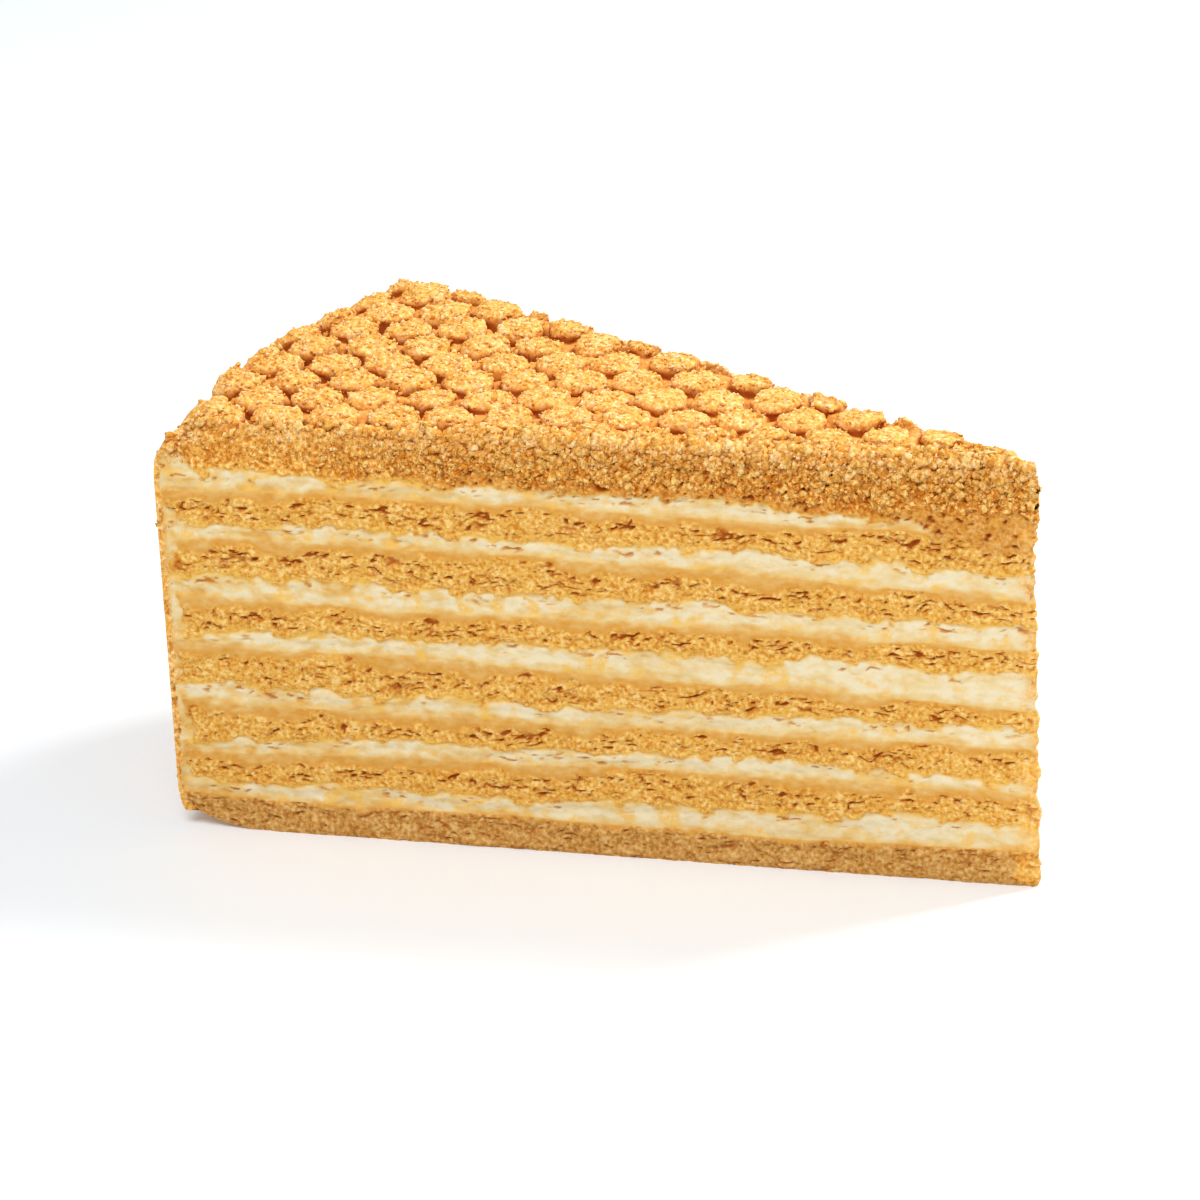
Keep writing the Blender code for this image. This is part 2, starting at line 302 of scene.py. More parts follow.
def from_front_cut(points):
    """How far inside the front cut face each point is."""
    x, y = CAKE_CENTRE_X - points[..., 0], points[..., 1]
    return x * math.sin(HALF_ANGLE) + y * math.cos(HALF_ANGLE)


def from_back_cut(points):
    """How far inside the back cut face each point is."""
    return from_front_cut(points * (1, -1, 1))


def bank_share(points):
    """How much of the loose crumbs' bank along the front cut's top edge lies here, 0 to 1."""
    near_edge = np.clip(1 - from_front_cut(points) / BANK_WIDTH, 0, 1)
    along = np.clip((points[..., 0] - BANK_START) / (BANK_FULL - BANK_START), 0, 1)
    return near_edge * along


def face_height(face, points):
    """Face 0 is the underside of the slice, faces 1 to 14 are the cream's, and 15 is the top,
    without its mounds."""
    radius, _ = polar(points)
    flat = points * (1, 1, 0)
    if face == 0:
        return np.zeros(points.shape[:-1])
    if face == TOP_FACE:
        near_rim = np.clip((radius - CAKE_RADIUS + SHOULDER_WIDTH) / SHOULDER_WIDTH, 0, None)
        wave = 0.4 * WAVE_HEIGHT * waver(flat, WAVE_LENGTH, 40)
        bank = BANK_HEIGHT * bank_share(points)
        return TOP_SURFACE - SHOULDER_DROP * near_rim**2 + wave + bank
    layer, on_top = (face - 1) // 2, face % 2 == 0
    underside, thickness = CREAM_LAYERS[layer]
    height = between_stations(underside, radius)
    if on_top:
        height = height + between_stations(thickness, radius)
    strength = 1.0 if on_top else 0.6
    height = height + WAVE_HEIGHT * strength * waver(flat, WAVE_LENGTH, 2 * layer + on_top)
    if on_top:
        hills = 0.75 * swell(flat, 7, 20 + face) + 0.4 * swell(flat, 2.8, 40 + face)
        return height + hills
    return height + 0.25 * swell(flat, 7, 20 + face)


def clipped(points):
    """Keeps a piece inside the solids' box, and lowers what would come near its top."""
    low = np.array(cad_box[0]) / MM + 0.02
    high = np.array(cad_box[1]) / MM - 0.02
    low[2] = 0
    kept = np.clip(points, low, high)
    too_high = np.maximum(points[..., 2] - high[2] + HEADROOM, 0)
    lowered = high[2] - HEADROOM + HEADROOM * np.tanh(too_high / HEADROOM)
    kept[..., 2] = np.where(too_high > 0, lowered, kept[..., 2])
    return kept


def rounding(inside, depth, radius):
    """An edge's rounding: how far it moves points inwards and downwards, and how much each then
    faces sideways and upwards."""
    aside = np.clip(1 - inside / radius, 0, 1)
    above = np.clip(1 - depth / radius, 0, 1)
    length = np.maximum(np.hypot(aside, above), 1e-6)
    pull = 1 - np.maximum(aside, above) / length
    return radius * aside * pull, radius * above * pull, aside / length, above / length


class Grid:
    """Part of a mesh: points in rows and columns, with the materials' values."""

    def __init__(self, points, values, closed=False, flipped=False):
        self.points = points
        self.values = [np.broadcast_to(value, points.shape[:-1]) for value in values]
        rows, columns = points.shape[:2]
        index = np.arange(rows * columns).reshape(rows, columns)
        if closed:
            index = np.concatenate([index, index[:, :1]], 1)
        quads = np.stack([index[:-1, :-1], index[:-1, 1:], index[1:, 1:], index[1:, :-1]], -1)
        self.faces = quads.reshape(-1, 4)
        if flipped:
            self.faces = self.faces[:, ::-1]


def ladder(ring, middle, flipped, stride=HIDDEN_STRIDE):
    """A grid that closes a ring of points, between its front half and its back half."""
    shift = (len(ring) - 2 * middle) // 2
    ring, middle = np.roll(ring, shift, 0), middle + shift
    halves = ring[:middle], ring[: middle - 1 : -1]
    steps = min(len(half) for half in halves) // stride
    chosen = [np.linspace(0, len(half) - 1, steps).round().astype(int) for half in halves]
    points = np.stack([half[places] for half, places in zip(halves, chosen)])
    return Grid(points, HIDDEN_VALUES, flipped=flipped)


def mesh_object(name, points, faces, values):
    """A mesh of these points in millimetres, all quads or all triangles, with point values."""
    mesh = bpy.data.meshes.new(name)
    count, corners = faces.shape
    mesh.vertices.add(len(points))
    mesh.vertices.foreach_set("co", (clipped(points) * MM).astype(np.float32).ravel())
    mesh.loops.add(count * corners)
    mesh.loops.foreach_set("vertex_index", faces.astype(np.int32).ravel())
    mesh.polygons.add(count)
    starts = np.arange(count, dtype=np.int32) * corners
    mesh.polygons.foreach_set("loop_start", starts)
    mesh.update(calc_edges=True)
    for value_name, value in values.items():
        attribute = mesh.attributes.new(value_name, "FLOAT", "POINT")
        attribute.data.foreach_set("value", value.astype(np.float32).ravel())
    made = bpy.data.objects.new(name, mesh)
    bpy.context.scene.collection.objects.link(made)
    return made


def dressed(piece, material, node=None):
    """Gives a piece its material and its place on the slice."""
    piece.data.materials.append(material)
    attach(piece, "root")
    if node:
        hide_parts(node)


def piece_of(grids, node, material):
    """One piece from its grids, in the place of a node."""
    points, faces, values = [], [], []
    start = 0
    for grid in grids:
        points.append(grid.points.reshape(-1, 3))
        faces.append(grid.faces + start)
        values.append([value.ravel() for value in grid.values])
        start += len(points[-1])
    joined = {name: np.concatenate(parts) for name, parts in zip(VALUE_NAMES, zip(*values))}
    piece = mesh_object(f"{node}_look", np.concatenate(points), np.concatenate(faces), joined)
    piece.data.shade_smooth()
    piece.data.set_sharp_from_angle(angle=SHARP_EDGE)
    dressed(piece, material, node)


class Strata:
    """Where each point of a cut face lies among the layers. Columns of points stand over one
    place in plan."""

    def __init__(self, columns, heights):
        faces = [face_height(face, columns) for face in range(TOP_FACE + 1)]
        self.faces = np.stack(faces)
        self.heights = heights
        self.layer = (heights[None] >= self.faces[1:TOP_FACE, None]).sum(0)
        under = np.take_along_axis(self.faces, self.layer + 1, 0) - heights
        over = heights - np.take_along_axis(self.faces, self.layer, 0)
        self.thickness = under + over
        self.in_cream = self.layer % 2 == 1
        self.under_cream = np.where(self.in_cream, -over, under)
        self.under_cream[self.layer == TOP_LAYER] = 9
        self.over_cream = np.where(self.in_cream, -under, over)
        self.over_cream[self.layer == 0] = 9

    def over_face(self, face):
        return self.heights - self.faces[face]


def loose_crumbs(points, looseness):
    """Relief of crumbs that lie loose on each other, and painted shade in their holes and in the
    gaps between them.
    """
    lumps = swell(points, 2.1, 45)
    grain = pebbles(points, (1.15, 1.15, 0.95), 43)
    rough = swell(points, (0.8, 0.8, 0.6), 44)
    gaps = swell(points, (1.2, 1.2, 0.9), 52) + 0.5 * swell(points, 0.65, 53)
    hole = ease(0.26, 0.56, gaps)
    lift = looseness * (0.5 * lumps + 0.6 * (grain - 0.4)) + mix(0.22, 0.16, looseness) * rough
    lift = lift - mix(0.25, 0.5, looseness) * hole
    gap_shade = ease(0.3, 0.0, grain) * looseness
    # The second value is painted shade: in the holes, in the gaps between the grains, and some
    # over all loose crumb.
    return lift, np.clip(hole * mix(0.5, 0.9, looseness) + 0.6 * gap_shade, 0.4 * looseness, 1)


def torn_cake(points, strata, under_soaked):
    """Relief of a layer's torn crumb, and its pits and cracks, most of them in a row just under
    the soaked cake. The pits and cracks are sunk, and the same value paints shade in them."""
    ragged = swell(points, (4, 4, 2.0), 5)
    lumps = swell(points, (1.5, 1.5, 0.9), 6)
    finer = swell(points, (0.8, 0.8, 0.55), 7)
    leaning = 0.9 * swell(points, (3, 3, 2.5), 23)
    bent = points + leaning[..., None] * (0, 0, 1)
    clusters = swell(points, (7, 7, 2.5), 10)
    holes = swell(bent, (1.7, 1.7, 0.58), 8) + 0.6 * swell(bent, (0.75, 0.75, 0.4), 9)
    in_row = ease(1.1, 0.2, np.abs(under_soaked - 0.9))
    pit_shade = ease(0.38, 0.6, holes + 0.25 * clusters + 0.18 * in_row - 0.06)
    crack = ease(0.12, 0.03, np.abs(swell(bent, (4.2, 4.2, 1.0), 11)))
    crack = crack * ease(0.1, 0.4, swell(points, (3, 3, 1.5), 12) + 0.5 * clusters)
    pit_shade = np.maximum(pit_shade, 0.8 * crack) * ease(0.2, 0.9, np.abs(strata.over_cream))
    return 0.14 + 0.28 * ragged + 0.2 * lumps + 0.1 * finer - 0.36 * pit_shade, pit_shade


def soft_cream(points, strata):
    """Relief of cream at the cut, and the small torn holes near its upper edge, with painted shade
    in them.
    """
    soft = 0.26 * swell(points, (4.5, 4.5, 2.2), 14) + 0.16 * swell(points, (1.5, 1.5, 0.9), 15)
    depth = np.where(strata.in_cream, -strata.over_cream, 0)
    near_top = ease(0.2, 0.5, depth) * ease(2.2, 1.0, depth)
    bent = points + 0.5 * swell(points, (2, 2, 2), 51)[..., None] * (0, 0, 1)
    hole = ease(0.2, 0.4, swell(bent, (1.5, 1.5, 0.45), 16))
    hole = hole * near_top * ease(-0.15, 0.2, swell(points, (6, 6, 4), 17))
    lip = 0.16 * ease(0.0, 0.5, depth) * ease(1.6, 0.6, depth)
    return -0.16 + soft + lip - 0.2 * hole, hole


def looseness_at(points):
    """How loose the top's crumbs lie, from 0 at the rim to 1 past the middle."""
    return ease(-45, 0, points[..., 0])


class CutFace:
    """A cut face at each of its points: how far it stands out, and the materials' values. The
    same rules shape every piece, so neighbours meet without a line."""

    def __init__(self, points, columns, rim_depth):
        self.points, self.columns, self.rim_depth = points, columns, rim_depth
        self.strata = Strata(columns, points[..., 2])
        self.over_top = self.strata.over_face(TOP_LAYER)
        self.looseness = looseness_at(columns) * np.ones_like(self.over_top)
        self.find_borders()
        self.find_soaked()
        self.find_coverings()
        self.out = self.relief()
        self.crumb = self.cake * self.crumbly
        self.values = (self.stain(), self.crumb, self.grade(), self.pit_shade(), self.smear())

    def find_borders(self):
        """Where cake borders on cream: it sways where cake lies under cream, and it is ragged
        where cake sags into the cream below."""
        points, strata = self.points, self.strata
        self.sway = 0.5 * swell(points, (6, 6, 3), 1) + 0.45 * swell(points, (1.8, 1.8, 1.2), 2)
        ragged = 0.55 * swell(points, (2.4, 2.4, 1.8), 3) + 0.4 * swell(points, (1, 1, 0.8), 4)
        self.sagging = swell(points, (2.8, 2.8, 4), 66) + 0.4 * swell(points, 1.0, 74)
        self.ragged = ragged + 0.9 * ease(0.1, 0.6, self.sagging)
        self.below_cream = ease(-0.6, 0.5, strata.under_cream + self.sway)
        self.above_cream = ease(-0.4, 0.4, strata.over_cream + self.ragged)
        either = 1 - (1 - self.below_cream) * (1 - self.above_cream)
        self.cake = np.where(strata.in_cream, either, self.below_cream * self.above_cream)

    def find_soaked(self):
        """How thick the soaked cake under each cream is, and where crumb begins."""
        points, strata = self.points, self.strata
        share = 0.25 + 0.3 * swell(points * (1, 1, 0.3), 9, 24)
        share = share + 0.16 * swell(points, (3, 3, 6), 76)
        self.soaked = strata.thickness * np.clip(share, 0.08, 0.5)
        self.soaked[strata.layer == 0] = 0.2
        deep = strata.under_cream + 0.8 * swell(points, (2.6, 2.6, 2.0), 25)
        self.deep = deep + 0.35 * swell(points, 1.1, 72)
        crumbly = ease(self.soaked - 0.4, self.soaked + 0.5, self.deep)
        sagged = ease(-1.2, -0.4, strata.over_cream)
        self.crumbly = np.where(strata.in_cream, sagged, crumbly)

    def find_coverings(self):
        """What covers the layers: cream and crumbs at the rim, crumbs that have fallen from the
        top, and crumbs at the tip."""
        points, strata = self.points, self.strata
        radius = CAKE_RADIUS - self.rim_depth
        end = 2.2 + 2.2 * swell(points * (0.3, 0.3, 1), 3.0, 26) + 1.3 * swell(points, 1.4, 27)
        end = end + 3.2 * ease(-2.5, -0.5, self.over_top)
        rim_cream = ease(0.5, -0.5, self.rim_depth - end)
        climb = 2.6 * ease(7, 2, self.rim_depth)
        rim_cream = rim_cream * ease(-0.2, 1.0, strata.over_face(1) + self.ragged)
        self.rim_cream = rim_cream * ease(0.8, -0.2, self.over_top + self.ragged - climb)
        coat_edge = 0.4 * swell(points, 1.1, 28) + 0.6 * swell(points, (3, 3, 4), 20)
        self.coat = ease(1.2, 0.8, self.rim_depth + coat_edge)
        self.tip = 0.9 * ease(4.4, 1.2, radius + 2.2 * swell(points, 2.0, 29))
        fallen = 4.4 * ease(24, 6, radius + 6 * swell(points * (1, 1, 0), 6, 18))
        self.smothered = ease(-0.3, 0.3, self.over_top + 1.4 * self.ragged + fallen)
        self.smothered[strata.layer < TOP_LAYER - 2] = 0
        covered = np.maximum(self.coat, self.tip)
        covered = np.maximum(covered, self.smothered * (1 - self.rim_cream))
        self.cake = np.maximum(self.cake * (1 - self.rim_cream), covered)
        self.crumbly = np.maximum(self.crumbly, covered)

    def relief(self):
        points = self.points
        cream_lift, self.hole = soft_cream(points, self.strata)
        torn_lift, torn_shade = torn_cake(points, self.strata, self.deep - self.soaked)
        loose_lift, loose_shade = loose_crumbs(points, self.looseness)
        loose = ease(-0.2, 0.8, self.over_top)
        loose = np.maximum(loose, np.maximum(self.coat, self.smothered))
        self.crumb_shade = mix(torn_shade, loose_shade, loose)
        smooth_lift = 0.1 * swell(points, 2.2, 13) + 0.07 * swell(points, 0.8, 73)
        cake_lift = mix(smooth_lift, mix(torn_lift, loose_lift, loose), self.crumbly)
        return mix(cream_lift, cake_lift, self.cake)

    def stain(self):
        """Cream grows golden downwards and in patches, and soaked cake browner with depth."""
        points, strata = self.points, self.strata
        patches = 0.35 * ease(-0.15, 0.5, swell(points, (9, 9, 4), 19))
        patches = patches + 0.35 * ease(-0.1, 0.5, swell(points, (2.4, 2.4, 1.4), 21))
        patches = patches * mix(1.5, 0.8, ease(-45, 30, self.columns[..., 0]))
        cream = 0.8 * ease(-1.2, 0.5, strata.under_cream + self.sway) + patches
        cake = 1 + 0.6 * ease(self.soaked - 1.2, self.soaked + 0.2, self.deep)
        cake = mix(cream, np.maximum(cake, cream), self.below_cream)
        stain = np.where(
            strata.in_cream,
            mix(np.minimum(cream, 1), 1.2, self.above_cream),
            mix(0.2, cake, self.above_cream),
        )
        rim_stain = 0.25 + 0.6 * ease(-0.4, 0.5, swell(points, (2, 2, 3), 30))
        return mix(stain, rim_stain, self.rim_cream)

    def grade(self):
        from_top = self.strata.faces[TOP_FACE] - self.points[..., 2]
        from_top = from_top + 0.9 * swell(self.points, 1.8, 54)
        gilt = ease(mix(0.9, 3.0, self.looseness), 0.0, from_top)
        gilt = np.maximum(gilt, np.maximum(0.8 * self.coat, self.tip))
        grade = mix(BASE_GRADE, LAYER_GRADE, ease(-0.5, 0.5, self.strata.over_face(1)))
        grade = mix(grade, TOP_CUT_GRADE, ease(-0.4, 0.9, self.over_top))
        return mix(grade, GOLD_GRADE, gilt)

    def pit_shade(self):
        # Painted shade: in the crumb's pits, cracks and gaps, less of it in the base layer and at
        # the tip, and in the cream's torn holes.
        pit_shade = self.crumb_shade * self.crumb * np.where(self.strata.layer > 0, 1, 0.55)
        pit_shade = pit_shade * (1 - 0.5 * self.tip)
        return np.maximum(pit_shade, 0.75 * self.hole * (1 - self.cake))

    def smear(self):
        """Golden streaks in the cream, where cake sags over it and along its lower border, and
        gold in its holes that warms their painted shade."""
        points, cream = self.points, 1 - self.cake
        streaks = swell(points, (1.9, 1.9, 0.9), 22) + 0.4 * swell(points, 0.7, 75)
        border = ease(0.9, 0.2, np.abs(self.strata.over_cream + self.ragged))
        border = border * ease(-0.3, 0.3, swell(points, (3, 3, 1.5), 67))
        smears = (
            0.7 * ease(0.22, 0.7, streaks) * cream,
            ease(0.15, 0.6, self.sagging) * cream,
            0.9 * border,
            0.35 * self.tip,
            0.9 * self.hole * cream,
        )
        return np.max(smears, 0)


class Outline:
    """The slice seen from above as one closed row of points: along the front cut to the tip,
    round it, back along the other cut, and along the rim, tucked in behind its neighbour."""

    def __init__(self, rim_depth):
        reach = CAKE_RADIUS - rim_depth
        count = int((reach - TIP_STRAIGHT) / CUT_SPACING)
        radii = np.linspace(reach, TIP_STRAIGHT, count)
        front = plan(radii, np.full(count, -HALF_ANGLE))
        back = plan(radii[::-1], np.full(count, HALF_ANGLE))
        widest = math.pi / 2 - HALF_ANGLE
        turn = np.linspace(-widest, widest, TIP_POINTS + 2)[1:-1]
        tip_normals = np.stack([np.cos(turn), np.sin(turn), turn * 0], -1)
        tip_centre = (CAKE_CENTRE_X - TIP_ROUNDING / math.sin(HALF_ANGLE), 0, 0)
        tucked = HALF_ANGLE - TUCK_IN / CAKE_RADIUS
        along_rim = np.linspace(tucked, -tucked, RIM_POINTS)
        rim = plan(np.full(RIM_POINTS, reach + TUCK_PAST), along_rim)
        self.columns = np.concatenate([front, tip_centre + TIP_ROUNDING * tip_normals, back, rim])
        self.normals = np.concatenate(
            [
                np.tile(cut_normal(-1), (count, 1)),
                tip_normals,
                np.tile(cut_normal(1), (count, 1)),
                rim_normals(along_rim),
            ]
        )
        self.rim_depth = rim_depth_at(self.columns)
        self.on_cut = np.ones(len(self.columns), bool)
        self.on_cut[-RIM_POINTS:] = False
        self.middle = count + (TIP_POINTS + 1) // 2


def closed_ring(points, normals, values, middle, hangs_past=True, flipped=False):
    """A ring of points and values, closed by turning in behind its neighbours above and below.
    Each part has points of its own, so that it is shaded by itself."""
    below, above = points[:1] - normals * TUCK_IN, points[-1:] - normals * TUCK_IN
    if hangs_past:
        below[..., 2] -= TUCK_PAST
    above[..., 2] += TUCK_PAST
    lowest, highest = [value[:1] for value in values], [value[-1:] for value in values]
    return [
        Grid(points, values, True, flipped),
        Grid(np.concatenate([below, points[:1]]), lowest, True, flipped),
        Grid(np.concatenate([points[-1:], above]), highest, True, flipped),
        ladder(below[0], middle, flipped, HIDDEN_STRIDE if hangs_past else 1),
        ladder(above[0], middle, not flipped),
    ]


def pulled_to_tip(points, rim_depth, cake):
    """The slice's tip edge is ragged, and its cream stands back a little."""
    setback = 0.85 - 0.75 * cake + 0.5 * swell(points, (2, 2, 1.4), 55)
    near_tip = np.exp(-(CAKE_RADIUS - rim_depth) / TIP_FADE)
    points[..., 0] -= setback * near_tip


def not_through(out, columns):
    """Keeps a cut's hollows from meeting those of the other cut near the tip."""
    deepest = np.where(np.abs(columns[:, 1]) < 4, -0.5 * np.abs(columns[:, 1]) - 0.05, -3)
    return np.maximum(out, deepest)


def layer_piece(face, node, material, rim_depth):
    """A cake or cream layer with its relief at the cut faces, closed above and below."""
    outline = Outline(rim_depth)
    low = face_height(face, outline.columns)
    high = face_height(face + 1, outline.columns)
    rows = max(6, int(np.mean(high - low) / ROW_SPACING) + 1)
    share = np.linspace(0, 1, rows)[:, None]
    points = raised_to(outline.columns, low + (high - low) * share)
    cut = CutFace(points, outline.columns, outline.rim_depth)
    out = np.where(outline.on_cut, not_through(cut.out, outline.columns), 0)
    if face == 0:
        inwards, upwards, aside, _ = rounding(0.0, points[..., 2], BOTTOM_EDGE)
        points[..., 2] += upwards
        out = out * aside - inwards
        points[0, :, 2] = 0
        lift = FOOT_LIFT * np.clip(1 - outline.rim_depth / FOOT_WIDTH, 0, 1) ** 2
        points[..., 2] += lift * (1 - share)
    points = points + outline.normals * out[..., None]
    pulled_to_tip(points, outline.rim_depth, cut.cake)
    grids = closed_ring(points, outline.normals, cut.values, outline.middle, face > 0)
    piece_of(grids, node, material)


def nearest_mound(columns):
    """The mound nearest to each place: its whole-numbered place, and the way out from it."""
    flat = columns[..., :2] - HONEYCOMB_START
    along, aslant = heading(HONEYCOMB_TURN), heading(HONEYCOMB_TURN + math.radians(120))
    steps = np.linalg.inv(np.stack([along, aslant], 1) * MOUND_PITCH)
    rough_place = np.floor(flat @ steps.T)
    best = np.full(flat.shape[:-1], 1e9)
    chosen = np.zeros(flat.shape)
    outwards = np.zeros(flat.shape)
    for corner in itertools.product((0, 1), repeat=2):
        place = rough_place + corner
        centre = (place[..., :1] * along + place[..., 1:] * aslant) * MOUND_PITCH
        away = flat - centre
        distance = (away**2).sum(-1)
        nearer = distance < best
        best = np.where(nearer, distance, best)
        chosen = np.where(nearer[..., None], place, chosen)
        outwards = np.where(nearer[..., None], away, outwards)
    return np.concatenate([chosen, np.zeros_like(chosen[..., :1])], -1), outwards


def hexagon_reach(outwards):
    """How far out of its mound's middle a place is: 1 half way to the next mound."""
    total = 0.0
    for third in range(3):
        across = outwards @ heading(HONEYCOMB_TURN + math.radians(60) * third)
        total = total + np.abs(across / (MOUND_PITCH / 2)) ** 6
    return total ** (1 / 6)


class Honeycomb:
    """The mounds over places in plan, every one a little different in size, place and height."""

    def __init__(self, columns, edge_depth):
        cell, outwards = nearest_mound(columns)
        reach = hexagon_reach(outwards)
        crowded = np.where(reach < 1, np.interp(reach, CROWDED_FROM, CROWDED_TO), reach)
        self.reach = mix(reach, crowded, ease(0.3, 1.5, edge_depth))
        stretch = self.reach / np.maximum(reach, 1e-6)
        shape, lean = scrambled(cell, 34), scrambled(cell, 35) - 0.5
        within = ease(1.0, 0.7, self.reach) * ease(0.3, 1.5, edge_depth)
        own = 0.75 * (shape[..., :2] - 0.5) + outwards * 0.16 * (shape[..., 2:] - 0.6)
        self.moved = outwards * (stretch[..., None] - 1) + own * within[..., None]
        self.body = ease(WALL_FOOT, WALL_TOP, self.reach)
        dome = np.clip(1 - self.reach**2, 0, 1)
        tilt = (outwards * lean[..., :2]).sum(-1) * 0.12
        self.height = MOUND_HEIGHT * (0.55 + 0.5 * dome + 0.25 * lean[..., 2]) + tilt
        length = np.maximum(np.linalg.norm(outwards, axis=-1), 1e-6)
        self.faces_shade = (outwards @ np.array(SHADED_WAY)) / length


class BareTop:
    """The top without its grain, over places in plan: its points, which way they face, and how
    deep inside the edges they are."""

    def __init__(self, columns):
        self.columns, self.flat = columns, columns * (1, 1, 0)
        self.radius, self.angle = polar(columns)
        self.rim_depth = np.maximum(CAKE_RADIUS - self.radius, 0)
        self.inside, self.outward = nearest_cut(columns)
        self.edge_depth = np.minimum(self.inside, self.rim_depth)
        self.comb = Honeycomb(columns, self.edge_depth)
        self.leftness = 1 - looseness_at(columns)
        self.find_fillings()
        self.raised = self.height()
        self.points, self.facing = self.rounded()

    def find_fillings(self):
        """Where rubble lies instead of mounds, on the bank and along the front cut, and which of
        the channels are filled with crumbs or deep."""
        flat = self.flat
        rubble = ease(0.15, 0.6, bank_share(flat) + 0.15 * swell(flat, 3, 37))
        crumbled = ease(2.0, 0.4, from_front_cut(self.columns) + 0.9 * swell(flat, 3, 38))
        crumbled = mix(0.25, 0.75, looseness_at(self.columns)) * crumbled
        self.rubble = np.maximum(rubble, crumbled)
        self.filled = ease(0.4, 0.55, swell(flat, 5.0, 41))
        deep = ease(0.15, 0.4, swell(flat, 2.4, 42) + 0.3 * self.leftness)
        self.deep = deep * (1 - self.filled)

    def height(self):
        """How far the mounds and the channels are raised over the top's face."""
        flat, body = self.flat, self.comb.body
        from_back = from_back_cut(self.columns)
        channel = CHANNEL_FLOOR + 0.15 * swell(flat, 1.4, 39) + 0.5 * self.filled - 0.9 * self.deep
        channel = channel + 0.9 * ease(5, 0, from_back)
        broken = 1 - 0.3 * ease(0.3, 0.6, swell(flat, 5, 36))
        raised = mix(channel, self.comb.height * broken, body)
        raised = mix(raised, 0.3 + 0.6 * swell(flat, 3.2, 77), self.rubble)
        rim_lift = mix(*RIM_LIFT, ease(5, 19, from_front_cut(self.columns)))
        raised = raised + rim_lift * ease(6, 1, self.rim_depth)
        raised = raised + BACK_LIFT * body * ease(7, 1, from_back)
        return raised - TIP_DROP * ease(6, 0, self.radius)

    def rounded(self):
        """The points with rounded edges, and which way they face."""
        points = raised_to(self.columns, face_height(TOP_FACE, self.columns))
        inwards, down, aside, up = rounding(self.inside, 0.0, edge_radius(self.columns))
        rim_inwards, rim_down, rim_aside, rim_up = rounding(self.rim_depth, 0.0, RIM_EDGE)
        outward, rim_outward = self.outward, rim_normals(self.angle)
        facing = outward * aside[..., None] + rim_outward * rim_aside[..., None]
        facing[..., 2] = up * rim_up
        points = points - outward * inwards[..., None] - rim_outward * rim_inwards[..., None]
        points[..., 2] -= down + rim_down
        points[..., :2] += self.comb.moved
        points[..., 2] += self.raised
        return points, facing


def top_surface(columns):
    """The top's points and values over these places in plan."""
    bare = BareTop(columns)
    east = BareTop(columns + (SLOPE_STEP, 0, 0)).points - bare.points
    north = BareTop(columns + (0, SLOPE_STEP, 0)).points - bare.points
    normals = np.cross(east, north)
    normals /= np.maximum(np.linalg.norm(normals, axis=-1), 1e-9)[..., None]
    normals = mix(normals, bare.facing, ease(1.2, 0.2, bare.edge_depth)[..., None])

    points, comb = bare.points, bare.comb
    crumb_lift, crumb_shade = loose_crumbs(points, looseness_at(columns))
    grain = pebbles(points, 1.35, 46)
    finer = pebbles(points, 0.75, 47)
    mound_lift = 0.6 * (grain - 0.42) + 0.32 * (finer - 0.5) + 0.25 * swell(points, 2.6, 48)
    on_mound = ease(0.0, 0.4, comb.body)
    crumbly = np.maximum(on_mound, 0.6 * bare.filled)
    lift = mix(0.12 * swell(points, 0.9, 40), mound_lift, crumbly)
    heaped = np.maximum(bare.rubble, ease(1.6, 0.2, bare.edge_depth))
    points = points + normals * mix(lift, crumb_lift, heaped)[..., None]

    # Painted shade: at the mounds' feet that face SHADED_WAY, in the deep channels, more towards
    # the rim, in the gaps between the mounds' grains, and in the holes and gaps of the loose
    # crumbs.
    foot = ease(0.77, 0.83, comb.reach) * ease(1.02, 0.92, comb.reach)
    shaded = foot * ease(-0.6, 0.5, comb.faces_shade + 0.9 * swell(bare.flat, 2.2, 49))
    channel_shade = bare.deep * (1 - comb.body) * (0.5 + 0.5 * bare.leftness)
    pit_shade = np.maximum(shaded * (1 - 0.6 * bare.filled), channel_shade)
    pit_shade = np.maximum(pit_shade, 0.35 * comb.body * ease(0.2, 0.0, grain))
    pit_shade = mix(pit_shade, crumb_shade, heaped)
    crumb = np.maximum(np.maximum(on_mound, heaped), 0.5 * bare.filled)
    grade = GOLD_GRADE - 0.25 * bare.rubble * ease(-0.2, 0.6, swell(points, 2.2, 50))
    return points, (CHANNEL_STAIN, crumb, grade, pit_shade, 0)


def edge_radius(columns):
    """How far the cut's top edge is rounded at each place in plan."""
    uneven = mix(*CUT_EDGE, looseness_at(columns))
    uneven = mix(uneven, BACK_EDGE, ease(-2, 2, columns[..., 1]))
    uneven = uneven * (1 + 0.5 * swell(columns * (1, 1, 0), 6, 56))
    return np.minimum(uneven, 0.35 + 0.9 * np.abs(columns[..., 1]))


def nearest_cut(columns):
    """The distance inside the nearer cut face, and that face's outward direction."""
    front, back = from_front_cut(columns), from_back_cut(columns)
    outward = np.where((front < back)[..., None], cut_normal(-1), cut_normal(1))
    return np.maximum(np.minimum(front, back), 0), outward


